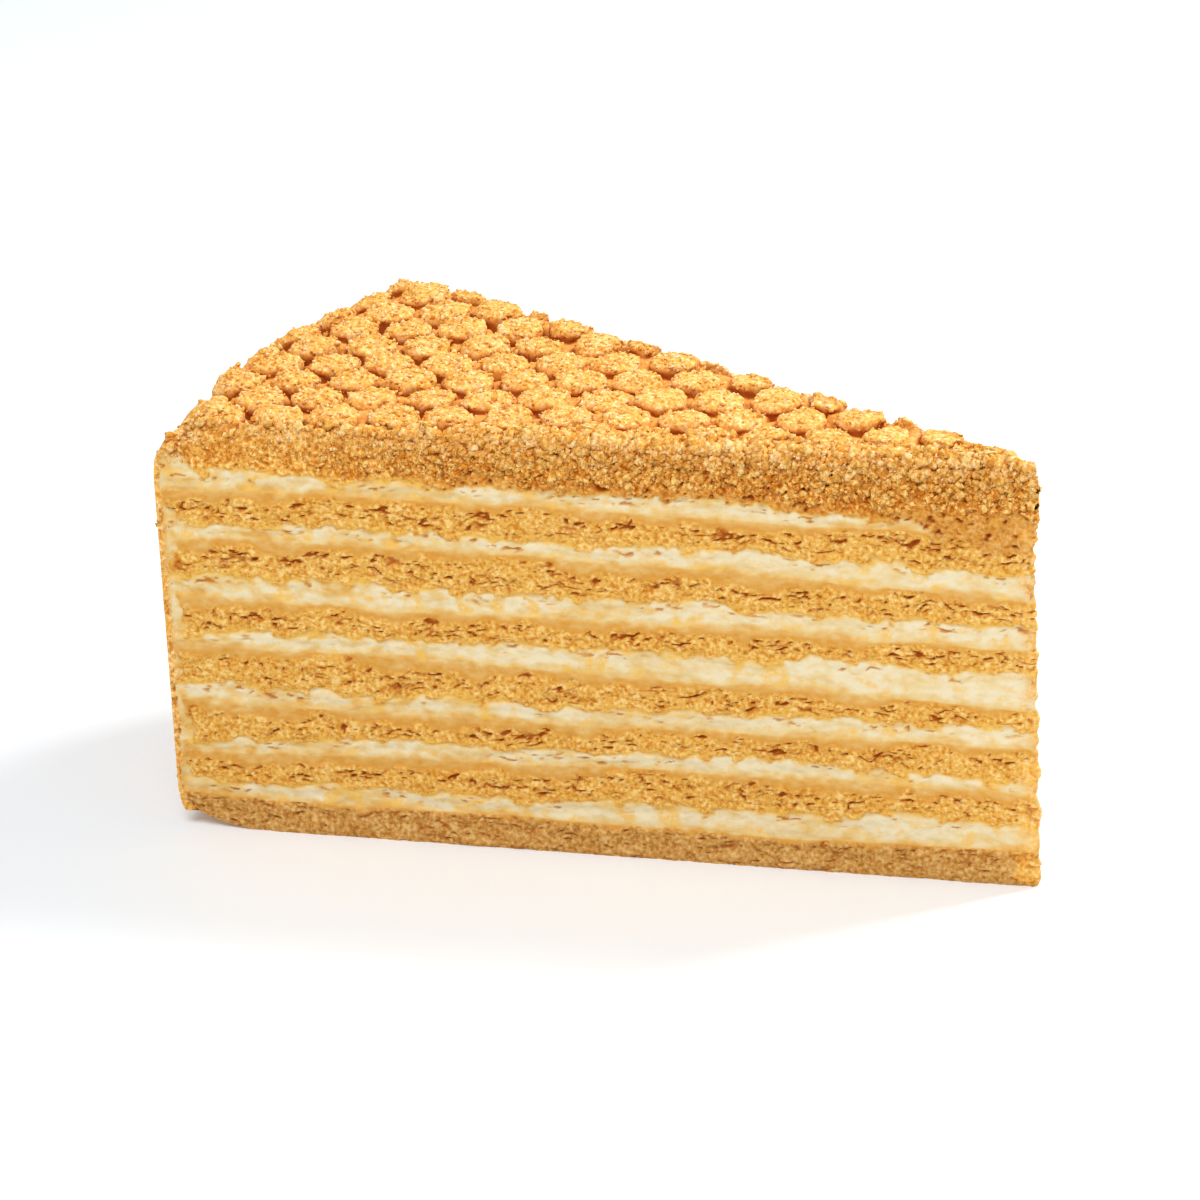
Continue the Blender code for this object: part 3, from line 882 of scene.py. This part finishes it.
def cut_under_top(columns, normals, rim_depth, low, rows, on_cut):
    """A cut face from the height low up to the top's rounded edge, as points and values."""
    high = face_height(TOP_FACE, columns)
    share = np.linspace(0, 1, rows)[:, None]
    heights = low + (high - low) * share
    points = raised_to(columns, heights)
    inwards, down, aside, up = rounding(0.0, high - heights, edge_radius(columns))
    rounded = points - normals * inwards[..., None]
    raised = BareTop(columns).raised * ease(3.0, 0.2, high - heights)
    rounded[..., 2] += raised - down
    cut = CutFace(rounded, columns, rim_depth)
    out = np.where(on_cut, not_through(cut.out, columns), 0)
    moved = rounded + normals * (out * aside)[..., None]
    moved[..., 2] += out * up
    pulled_to_tip(moved, rim_depth, cut.cake * ease(0.5, 2.0, high - heights))
    return moved, cut.values


def top_band(outer, inner, columns):
    """Places in plan over one band of the top, from its outer to its inner radius."""
    across = np.linspace(-1, 1, columns)
    if inner > 0:
        ends = np.full(columns, float(inner))
    else:
        ends = TIP_TRIM + (TIP_STRAIGHT - TIP_TRIM) * across**2
    along = np.linspace(0, 1, int((outer - inner) / TOP_SPACING))[:, None]
    radius = outer + (ends - outer) * along
    return plan(radius, np.broadcast_to(across * HALF_ANGLE, radius.shape))


def top_edge(bands):
    """The top's edge as a closed row of places in plan, along the front cut to the tip, back
    along the other cut and along the rim, with the way that each place faces, whether it is on
    a cut, and the number of the place in the middle of the tip."""
    front, back = [], []
    for columns, (_, inner, _) in zip(bands, TOP_BANDS):
        own = polar(columns)[0][:, 0] > inner
        front.append(columns[own, 0])
        back.append(columns[own, -1])
    front, back = np.concatenate(front), np.concatenate(back)
    tip, rim = bands[-1][-1, 1:-1], bands[0][0, 1:-1]
    loop = np.concatenate([front, tip, back[::-1], rim[::-1]])
    back_start = len(front) + len(tip)
    rim_start = back_start + len(back)
    normals = edge_normals(loop)
    normals[: len(front)] = cut_normal(-1)
    normals[back_start:rim_start] = cut_normal(1)
    return loop, normals, np.arange(len(loop)) < rim_start, len(front) + len(tip) // 2


def top_piece(material):
    """The top cake layer with the honeycomb of mounds."""
    bands, grids = [], []
    for outer, inner, count in TOP_BANDS:
        overlap = TUCK_PAST if inner > 0 else 0
        columns = top_band(outer, inner - overlap, count)
        surface, values = top_surface(columns)
        pulled_to_tip(surface, rim_depth_at(columns), 0)
        bands.append(columns)
        grids.append(Grid(surface, values, flipped=True))
    loop, normals, on_cut, middle = top_edge(bands)
    low = face_height(TOP_LAYER, loop)
    walls, values = cut_under_top(loop, normals, rim_depth_at(loop), low, WALL_ROWS, on_cut)
    closing = closed_ring(walls, normals, values, middle)
    piece_of([*grids, *closing[:2], closing[3]], "cake_8_top", material)
    surfaces = [grid.points.reshape(-1, 3) for grid in grids]
    return np.concatenate(surfaces), walls[:, on_cut]


def edge_normals(edge):
    """Which way each point of a closed row faces, seen from above."""
    ahead = np.roll(edge, -1, axis=0) - np.roll(edge, 1, axis=0)
    normals = np.stack([ahead[:, 1], -ahead[:, 0], np.zeros(len(edge))], -1)
    return normals / np.maximum(np.linalg.norm(normals, axis=1), 1e-9)[:, None]


def cream_coat_piece(material):
    """The cream between the layers' ends and the rim's crumbs. Only its ends show."""
    outside, inside = CRUMB_COAT, CRUMB_COAT + CREAM_COAT
    depths = np.linspace(outside, inside, END_POINTS)
    tucked = HALF_ANGLE - TUCK_IN / CAKE_RADIUS
    arc = np.linspace(tucked, -tucked, HIDDEN_POINTS)
    behind = np.full(HIDDEN_POINTS, outside - TUCK_PAST)
    before = np.full(HIDDEN_POINTS, inside + TUCK_PAST)
    rim_depth = np.concatenate([behind, depths, before, depths[::-1]])
    ends = [np.full(END_POINTS, side * HALF_ANGLE) for side in (-1, 1)]
    columns = plan(CAKE_RADIUS - rim_depth, np.concatenate([arc, ends[0], arc[::-1], ends[1]]))
    half = HIDDEN_POINTS + END_POINTS
    normals = np.zeros(columns.shape)
    normals[HIDDEN_POINTS:half] = cut_normal(-1)
    normals[half + HIDDEN_POINTS :] = cut_normal(1)
    low, high = face_height(1, columns), face_height(TOP_LAYER, columns)
    share = np.linspace(0, 1, int(CREAM_COAT_HEIGHT / ROW_SPACING))[:, None]
    points = raised_to(columns, low + (high - low) * share)
    cut = CutFace(points, columns, rim_depth)
    points = points + normals * cut.out[..., None]
    turn = HIDDEN_POINTS + END_POINTS // 2
    points, normals = np.roll(points, turn, 1), np.roll(normals, turn, 0)
    values = [np.roll(value, turn, 1) for value in cut.values]
    grids = closed_ring(points, normals, values, half, flipped=True)
    piece_of(grids, "rim_cream", material)


def coat_wall(arc, foot):
    """The outside of the rim's coat, with its grains, as a grid."""
    outer = plan(np.full(COAT_COLUMNS, float(CAKE_RADIUS)), arc)
    top = face_height(TOP_FACE, outer)
    heights = foot + (top - foot) * np.linspace(0, 1, COAT_ROWS)[:, None]
    points = raised_to(outer, heights)
    outward = rim_normals(arc)
    inwards, down, aside, up = rounding(0.0, top - heights, RIM_EDGE)
    points = points - outward * inwards[..., None]
    points[..., 2] -= down
    lumps = 0.3 * swell(points, 4.5, 62) + 0.18 * swell(points, 1.8, 63)
    grain = pebbles(points, 1.2, 60)
    finer = pebbles(points, 0.75, 61)
    out = -0.55 + lumps + 0.55 * (grain - 0.4) + 0.25 * (finer - 0.5)
    bare = ease(0.3, 0.6, swell(points, 2.4, 64)) * ease(2.0, 5.0, top - heights)
    near_top = ease(3.0, 0.2, top - heights)
    points[..., 2] += BareTop(outer).raised * near_top
    top_lift, _ = loose_crumbs(points, looseness_at(outer))
    out = mix(out - 0.3 * bare, top_lift, near_top)
    wall = points + outward * (out * aside)[..., None]
    wall[..., 2] += out * up
    # Painted shade in the gaps between the coat's grains; the bare patches are made darker too.
    pit_shade = np.clip(0.85 * ease(0.25, 0.0, grain) + 0.3 * bare, 0, 1)
    grade = GOLD_GRADE - 0.35 * ease(-0.2, 0.6, swell(points, 3.5, 65))
    values = (SOAKED_STAIN, 1 - 0.5 * bare, grade, pit_shade, 0.3 * bare)
    return Grid(wall, values, flipped=True)


def coat_end(side, depths, foot):
    """The coat's end on a cut face, and its edge that turns in behind the cream, as grids."""
    count = len(depths)
    ends = plan(CAKE_RADIUS - depths, np.full(count, side * HALF_ANGLE))
    normal = cut_normal(side)
    end, values = cut_under_top(
        ends, np.tile(normal, (count, 1)), depths, foot, COAT_ROWS, np.ones(count, bool)
    )
    inner = np.concatenate([end[:, -1:], end[:, -1:] - normal * TUCK_IN], 1)
    backwards = side > 0
    return [Grid(end, values, flipped=backwards), Grid(inner, HIDDEN_VALUES, flipped=backwards)]


def crumb_coat_piece(material):
    """The rim's coat of fine crumbs, from its foot to the top, where the honeycomb goes on."""
    arc = np.linspace(HALF_ANGLE, -HALF_ANGLE, COAT_COLUMNS)
    foot = FOOT_LIFT + 0.4 * swell(plan(np.full(COAT_COLUMNS, float(CAKE_RADIUS)), arc), 4, 70)
    wall = coat_wall(arc, foot)
    depths = np.linspace(0, CRUMB_COAT + TUCK_PAST, CAP_ROWS)
    across = (CAP_ROWS, COAT_COLUMNS)
    cap_columns = plan(
        np.broadcast_to(CAKE_RADIUS - depths[:, None], across), np.broadcast_to(arc, across)
    )
    cap, cap_values = top_surface(cap_columns)
    grids = [wall, Grid(cap, cap_values, flipped=True)]
    for side, end_foot in ((-1, foot[-1]), (1, foot[0])):
        grids.extend(coat_end(side, depths, np.full(CAP_ROWS, end_foot)))
    under = np.stack([wall.points[0], plan(np.full(COAT_COLUMNS, CAKE_RADIUS - FOOT_REACH), arc)])
    under[1, :, 2] = under[0, :, 2]
    grids.append(Grid(under, HIDDEN_VALUES))
    piece_of(grids, "rim_crumbs", material)
    return wall.points


def box_triangles():
    """Two triangles for each side of a box."""
    triangles = []
    for axis, side in itertools.product(range(3), (-1, 1)):
        a, b, c, d = np.flatnonzero(BOX_CORNERS[:, axis] * side > 0)
        in_order = side * (-1) ** axis < 0
        triangles.extend(((a, b, d), (a, d, c)) if in_order else ((a, d, b), (a, c, d)))
    return np.array(triangles)


def grains(name, centres, outward, sizes, seed, material, grade):
    """Many loose crumbs as one mesh, each of them uneven and turned its own way."""
    draw = np.random.default_rng(seed)
    count, corners = len(centres), len(BOX_CORNERS)
    turns, _ = np.linalg.qr(draw.normal(size=(count, 3, 3)))
    turns[:, :, 0] *= np.sign(np.linalg.det(turns))[:, None]
    stretch = draw.uniform(*BOX_STRETCH, (count, 1, 3))
    uneven = draw.uniform(*CORNER_REACH, (count, corners, 1))
    shaped = BOX_CORNERS[None] * stretch * uneven * sizes[:, None, None]
    turned = np.einsum("nij,nkj->nki", turns, shaped)
    placed = turned + centres[:, None]
    # Corners that point into the surface get painted shade, like the gaps between crumbs.
    sunk = -(turned * outward[:, None]).sum(-1) / sizes[:, None]
    faces = box_triangles()[None] + corners * np.arange(count)[:, None, None]
    values = {
        "stain": np.full(corners * count, SOAKED_STAIN),
        "crumb": np.ones(corners * count),
        "grade": np.repeat(grade, corners),
        "pit_shade": GRAIN_GAP_SHADE * ease(-0.3, 0.6, sunk).ravel(),
        "shade": np.repeat(draw.uniform(-0.5, 0.5, count), corners),
    }
    piece = mesh_object(name, placed.reshape(-1, 3), faces.reshape(-1, 3), values)
    dressed(piece, material)


def linear(red, green, blue):
    """A colour from its screen values, 0 to 255, as shader nodes take it."""
    def one(value):
        share = value / 255
        return share / 12.92 if share <= 0.04045 else ((share + 0.055) / 1.055) ** 2.4

    return one(red), one(green), one(blue), 1


# Screen colours of what the photograph shows. Crumb colours go along "grade", from the brown
# base through the top layer's cut and the other layers to golden crumbs.
CRUMB_GRADES = (BASE_GRADE, TOP_CUT_GRADE, LAYER_GRADE, GOLD_GRADE)
DARK_CRUMBS = ((172, 112, 45), (202, 116, 28), (204, 134, 44), (226, 150, 60))
MIDDLE_CRUMBS = ((202, 148, 77), (232, 168, 76), (226, 171, 81), (241, 184, 97))
LIGHT_CRUMBS = ((222, 179, 112), (255, 214, 130), (242, 203, 126), (255, 217, 160))
# How much painted shade the shader's own small pits give at each grade; these pits are only in the
# colour
SMALL_PIT_SHADE = (0.35, 0.7, 0.9, 0.12)
STAINS = (
    (0.0, (231, 216, 180)),
    (0.35, (228, 203, 151)),
    (0.7, (224, 189, 124)),
    (1.0, (220, 171, 96)),
    (1.5, (210, 149, 62)),
    (2.0, (226, 158, 80)),
)
# Painted shade for pits, holes and gaps, from light to deepest. Its reddish brown also stands in
# for light that glows through the crumb.
PIT_SHADES = ((0.0, (196, 114, 36)), (0.6, (184, 94, 24)), (1.0, (146, 62, 12)))
SMEAR_COLOUR = linear(236, 186, 84)


class Shading:
    """A node material under construction."""

    def __init__(self, name):
        self.material = bpy.data.materials.new(name)
        self.material.use_nodes = True
        self.tree = self.material.node_tree
        self.shader = self.tree.nodes["Principled BSDF"]
        self.place = self.node("TexCoord").outputs["Object"]

    def node(self, kind):
        return self.tree.nodes.new(f"ShaderNode{kind}")

    def link(self, source, target):
        self.tree.links.new(source, target)

    def value(self, name):
        """A mesh's own value, by name."""
        made = self.node("Attribute")
        made.attribute_name = name
        return made.outputs["Fac"]

    def speckle(self, size, detail=2.0, stretch=(1, 1, 1)):
        """Noise with lumps of this size in millimetres."""
        made = self.node("TexNoise")
        made.inputs["Scale"].default_value = 1 / (size * MM)
        made.inputs["Detail"].default_value = detail
        place = self.place
        if stretch != (1, 1, 1):
            mapping = self.node("Mapping")
            mapping.inputs["Scale"].default_value = stretch
            self.link(place, mapping.inputs["Vector"])
            place = mapping.outputs["Vector"]
        self.link(place, made.inputs["Vector"])
        return made.outputs["Fac"]

    def ramp(self, source, stops):
        """Colours along a value from 0 to 1."""
        made = self.node("ValToRGB")
        elements = made.color_ramp.elements
        while len(elements) < len(stops):
            elements.new(0.5)
        for element, (place, colour) in zip(elements, stops):
            element.position = place
            element.color = colour
        self.link(source, made.inputs["Fac"])
        return made.outputs["Color"]

    def ranged(self, source, low, high, to_low, to_high):
        """A value moved from one range to another, and held inside it."""
        made = self.node("MapRange")
        names = ("From Min", "From Max", "To Min", "To Max")
        for name, value in zip(names, (low, high, to_low, to_high)):
            made.inputs[name].default_value = value
        self.link(source, made.inputs["Value"])
        return made.outputs["Result"]

    def reckoned(self, operation, first, second):
        """Two values added, multiplied or otherwise worked out. Either may be a number."""
        made = self.node("Math")
        made.operation = operation
        for value, socket in ((first, made.inputs[0]), (second, made.inputs[1])):
            if isinstance(value, (int, float)):
                socket.default_value = value
            else:
                self.link(value, socket)
        return made.outputs["Value"]

    def mixed(self, share, first, second):
        """Two colours mixed. Either may be a colour or the output of a node."""
        made = self.node("Mix")
        made.data_type = "RGBA"
        sockets = ((share, made.inputs[0]), (first, made.inputs[6]), (second, made.inputs[7]))
        for value, socket in sockets:
            if isinstance(value, tuple):
                socket.default_value = value
            else:
                self.link(value, socket)
        return made.outputs[2]

    def bumped(self, height, depth, before=None):
        """A bump of this depth in millimetres, over another one if given."""
        bump = self.node("Bump")
        bump.inputs["Strength"].default_value = 1.0
        bump.inputs["Distance"].default_value = depth * MM
        self.link(height, bump.inputs["Height"])
        if before is not None:
            self.link(before, bump.inputs["Normal"])
        return bump.outputs["Normal"]


def crumb_colour(shading, tone, grade):
    """Crumb in dark, middle and light grains, along its grade."""
    colours = []
    for shades in (DARK_CRUMBS, MIDDLE_CRUMBS, LIGHT_CRUMBS):
        stops = [(place, linear(*colour)) for place, colour in zip(CRUMB_GRADES, shades)]
        colours.append(shading.ramp(grade, stops))
    dark, middle, light = colours
    colour = shading.mixed(shading.ranged(tone, 0.34, 0.47, 1.0, 0.0), middle, dark)
    return shading.mixed(shading.ranged(tone, 0.53, 0.65, 0.0, 1.0), colour, light)


def soft_colour(shading):
    """Cream and soaked cake, marbled, along the stain."""
    marble = shading.speckle(1.3, 3.0, (0.9, 0.9, 1.5))
    stain = shading.reckoned("MULTIPLY", shading.value("stain"), 0.5)
    stain = shading.reckoned("ADD", stain, shading.ranged(marble, 0.3, 0.7, -0.12, 0.12))
    return shading.ramp(stain, [(place / 2, linear(*colour)) for place, colour in STAINS])


def smeared(shading, colour, fine):
    """A colour with the golden smears over it."""
    smear = shading.ranged(shading.value("smear"), 0.0, 1.0, 0.0, 0.9)
    smear = shading.reckoned("MULTIPLY", smear, shading.ranged(fine, 0.35, 0.6, 0.45, 1.0))
    return shading.mixed(smear, colour, SMEAR_COLOUR)


def with_pit_shade(shading, colour, torn, grade, crumb):
    """A colour with painted shade for the mesh's pits, and for smaller pits that only the shader
    makes in its crumb.
    """
    stops = [(place, (share,) * 3 + (1,)) for place, share in zip(CRUMB_GRADES, SMALL_PIT_SHADE)]
    small_pit_shade = shading.ranged(torn, 0.34, 0.41, 0.75, 0.0)
    small_pit_shade = shading.reckoned("MULTIPLY", small_pit_shade, shading.ramp(grade, stops))
    small_pit_shade = shading.reckoned("MULTIPLY", small_pit_shade, crumb)
    pit_shade = shading.ranged(shading.value("pit_shade"), 0.1, 0.9, 0.0, 0.95)
    pit_shade = shading.reckoned("MAXIMUM", pit_shade, small_pit_shade)
    stops = [(place, linear(*shade_colour)) for place, shade_colour in PIT_SHADES]
    return shading.mixed(pit_shade, colour, shading.ramp(shading.value("pit_shade"), stops))


def cake_material(name):
    """Cream, soaked cake and crumb, as each mesh's values say."""
    shading = Shading(name)
    fine = shading.speckle(0.55, 2.0)
    finest = shading.speckle(0.26, 1.0)
    torn = shading.speckle(0.95, 2.0, (1, 1, 2.0))
    drift = shading.speckle(3.0, 2.0)
    shade, grade, crumb = [shading.value(value) for value in ("shade", "grade", "crumb")]

    tone = shading.reckoned("ADD", fine, shading.reckoned("MULTIPLY", shade, 0.22))
    tone = shading.reckoned("ADD", tone, shading.ranged(drift, 0.3, 0.7, -0.05, 0.05))
    grainy = crumb_colour(shading, tone, grade)
    colour = shading.mixed(crumb, soft_colour(shading), grainy)
    colour = smeared(shading, colour, fine)
    colour = with_pit_shade(shading, colour, torn, grade, crumb)
    shading.link(colour, shading.shader.inputs["Base Color"])
    shading.shader.inputs["Specular IOR Level"].default_value = 0.05
    grit = shading.ranged(finest, 0.3, 0.7, -0.08, 0.08)
    roughness = shading.reckoned("ADD", grit, shading.ranged(crumb, 0.0, 1.0, 0.52, 0.85))
    shading.link(roughness, shading.shader.inputs["Roughness"])

    relief = shading.ranged(crumb, 0.0, 1.0, 0.5, 1.0)
    normal = shading.bumped(shading.reckoned("MULTIPLY", fine, relief), 0.2)
    normal = shading.bumped(shading.reckoned("MULTIPLY", finest, relief), 0.06, normal)
    shading.link(normal, shading.shader.inputs["Normal"])
    return shading.material


def chosen(draw, points, weight, count):
    """Different points, picked more often where they weigh more."""
    return points[draw.choice(len(points), count, replace=False, p=weight / weight.sum())]


def sizes_of(draw, count, smallest, spread):
    """The crumbs' sizes, most of them near the smallest."""
    return smallest + spread * draw.random(count) ** 2


def mound_crumbs(draw, top, material):
    """Crumbs on the mounds, fewer in the channels between them."""
    raised = top[:, 2] - face_height(TOP_FACE, top)
    weight = polar(top)[0] * (0.15 + ease(0.5, 1.3, raised))
    centres = chosen(draw, top, weight, MOUND_CRUMBS[0])
    sizes = sizes_of(draw, *MOUND_CRUMBS)
    grade = np.full(len(centres), GOLD_GRADE)
    upwards = np.tile((0.0, 0.0, 1.0), (len(centres), 1))
    grains("mound_crumbs", centres, upwards, sizes, 11, material, grade)


def bank_crumbs(draw, top, material):
    """Larger crumbs on the bank along the front cut's top edge."""
    bank = bank_share(top)
    weight = polar(top)[0] * ((bank > 0.35) * bank + 0.3 * (from_front_cut(top) < 2.5))
    centres = chosen(draw, top, weight, BANK_CRUMBS[0])
    centres = centres + draw.uniform(-0.2, 0.35, (len(centres), 1)) * (0, 0, 1)
    sizes = sizes_of(draw, *BANK_CRUMBS)
    grade = GOLD_GRADE - 0.4 * draw.random(len(centres)) ** 2
    outwards = np.tile((0.0, -0.4, 0.9), (len(centres), 1))
    grains("bank_crumbs", centres, outwards, sizes, 12, material, grade)


def cut_crumbs(draw, wall, material):
    """Crumbs on the top layer's cut faces, larger and more of them away from the rim."""
    above = wall[:, 2] - face_height(TOP_LAYER, wall)
    fading = ease(0.3, 2.8, above + 1.2 * swell(wall, 2.5, 71))
    weight = fading * mix(0.35, 1.0, ease(-45, -5, wall[:, 0]))
    centres = chosen(draw, wall, weight, CUT_CRUMBS[0])
    sizes = sizes_of(draw, *CUT_CRUMBS) * mix(*CUT_CRUMB_SCALE, looseness_at(centres))
    from_top = face_height(TOP_FACE, centres) - centres[:, 2]
    gilt = ease(4.0, 0.5, from_top + draw.uniform(-1.5, 1.5, len(centres)))
    grade = mix(TOP_CUT_GRADE, GOLD_GRADE, gilt)
    outwards = np.where(centres[:, 1:2] > 0, 1.0, -1.0) * (0, 1, 0)
    grains("cut_crumbs", centres, outwards, sizes, 13, material, grade)


def rim_crumbs(draw, rim, material):
    """Fine crumbs that stick out of the rim's coat."""
    centres = rim[draw.choice(len(rim), RIM_CRUMBS[0], replace=False)]
    sizes = sizes_of(draw, *RIM_CRUMBS)
    grade = GOLD_GRADE - 0.3 * draw.random(len(centres))
    outwards = rim_normals(polar(centres)[1])
    grains("rim_loose_crumbs", centres, outwards, sizes, 14, material, grade)


def scattered_crumbs(top_points, wall_points, rim_points, material):
    """Loose crumbs on the mounds, on the top layer's cut faces and on the rim's coat."""
    draw = np.random.default_rng(5)
    top = top_points.reshape(-1, 3)
    mound_crumbs(draw, top, material)
    bank_crumbs(draw, top, material)
    cut_crumbs(draw, wall_points[2:].reshape(-1, 3), material)
    rim_crumbs(draw, rim_points.reshape(-1, 3), material)


def build_slice():
    """Every piece of the slice."""
    base, cake, cream, crumb_top, crumb_coat, loose = (
        cake_material(name)
        for name in ("base_cake", "cake", "cream", "crumb_top", "crumb_coat", "loose_crumbs")
    )
    layers_start = CRUMB_COAT + CREAM_COAT
    layer_piece(0, "cake_1", base, CRUMB_COAT)
    for number in range(1, len(CREAM_LAYERS) + 1):
        layer_piece(2 * number - 1, f"cream_{number}", cream, layers_start)
    for number in range(2, len(CREAM_LAYERS) + 1):
        layer_piece(2 * number - 2, f"cake_{number}", cake, layers_start)
    top_points, wall_points = top_piece(crumb_top)
    cream_coat_piece(cream)
    rim_points = crumb_coat_piece(crumb_coat)
    scattered_crumbs(top_points, wall_points, rim_points, loose)


def floor():
    """A plain white floor, far larger than the view."""
    bpy.ops.mesh.primitive_plane_add(size=FLOOR_SIZE)
    plane = bpy.context.object
    plane.name = "floor"
    shading = Shading("white_floor")
    colour = shading.ramp(
        shading.speckle(90.0), ((0.3, (0.88, 0.92, 0.96, 1)), (0.7, (0.9, 0.94, 0.98, 1)))
    )
    shading.link(colour, shading.shader.inputs["Base Color"])
    shading.shader.inputs["Roughness"].default_value = 0.6
    shading.shader.inputs["Emission Color"].default_value = (0.9, 0.95, 1, 1)
    shading.shader.inputs["Emission Strength"].default_value = 0.08
    plane.data.materials.append(shading.material)


def soft_light(name, place, size, power, colour):
    """A square area light that faces the slice."""
    data = bpy.data.lights.new(name, "AREA")
    data.size = size
    data.energy = power
    data.color = colour
    made = bpy.data.objects.new(name, data)
    bpy.context.scene.collection.objects.link(made)
    made.location = place
    facing = Vector(LIGHTS_TARGET) - Vector(place)
    made.rotation_euler = facing.to_track_quat("-Z", "Y").to_euler()


def light_studio():
    """Bright even surroundings, one large light above and behind, and a fill in front."""
    world = bpy.data.worlds.new("studio")
    bpy.context.scene.world = world
    world.use_nodes = True
    background = world.node_tree.nodes["Background"]
    background.inputs["Color"].default_value = (1, 1, 1, 1)
    background.inputs["Strength"].default_value = SURROUNDINGS
    soft_light("key", *KEY_LIGHT)
    soft_light("front", *FRONT_LIGHT)
    bpy.context.scene.view_settings.view_transform = "Standard"


def place_camera():
    """The photograph's view: a long lens, turned a little about its own axis."""
    azimuth, elevation, roll = (
        math.radians(angle) for angle in (CAMERA_AZIMUTH, CAMERA_ELEVATION, CAMERA_ROLL)
    )
    back = Vector(
        (
            math.sin(azimuth) * math.cos(elevation),
            -math.cos(azimuth) * math.cos(elevation),
            math.sin(elevation),
        )
    )
    right = Vector((math.cos(azimuth), math.sin(azimuth), 0))
    up = back.cross(right)
    camera_x = right * math.cos(roll) + up * math.sin(roll)
    camera_y = up * math.cos(roll) - right * math.sin(roll)
    data = bpy.data.cameras.new("camera")
    data.lens = CAMERA_LENS
    data.clip_start, data.clip_end = 0.01, 20
    camera = bpy.data.objects.new("camera", data)
    bpy.context.scene.collection.objects.link(camera)
    turned = Matrix((camera_x, camera_y, back)).transposed().to_4x4()
    place = (Vector(CAMERA_TARGET) + back * CAMERA_DISTANCE) * MM
    camera.matrix_world = Matrix.Translation(place) @ turned
    bpy.context.scene.camera = camera


place_camera()
build_slice()
floor()
light_studio()
bpy.context.view_layer.update()
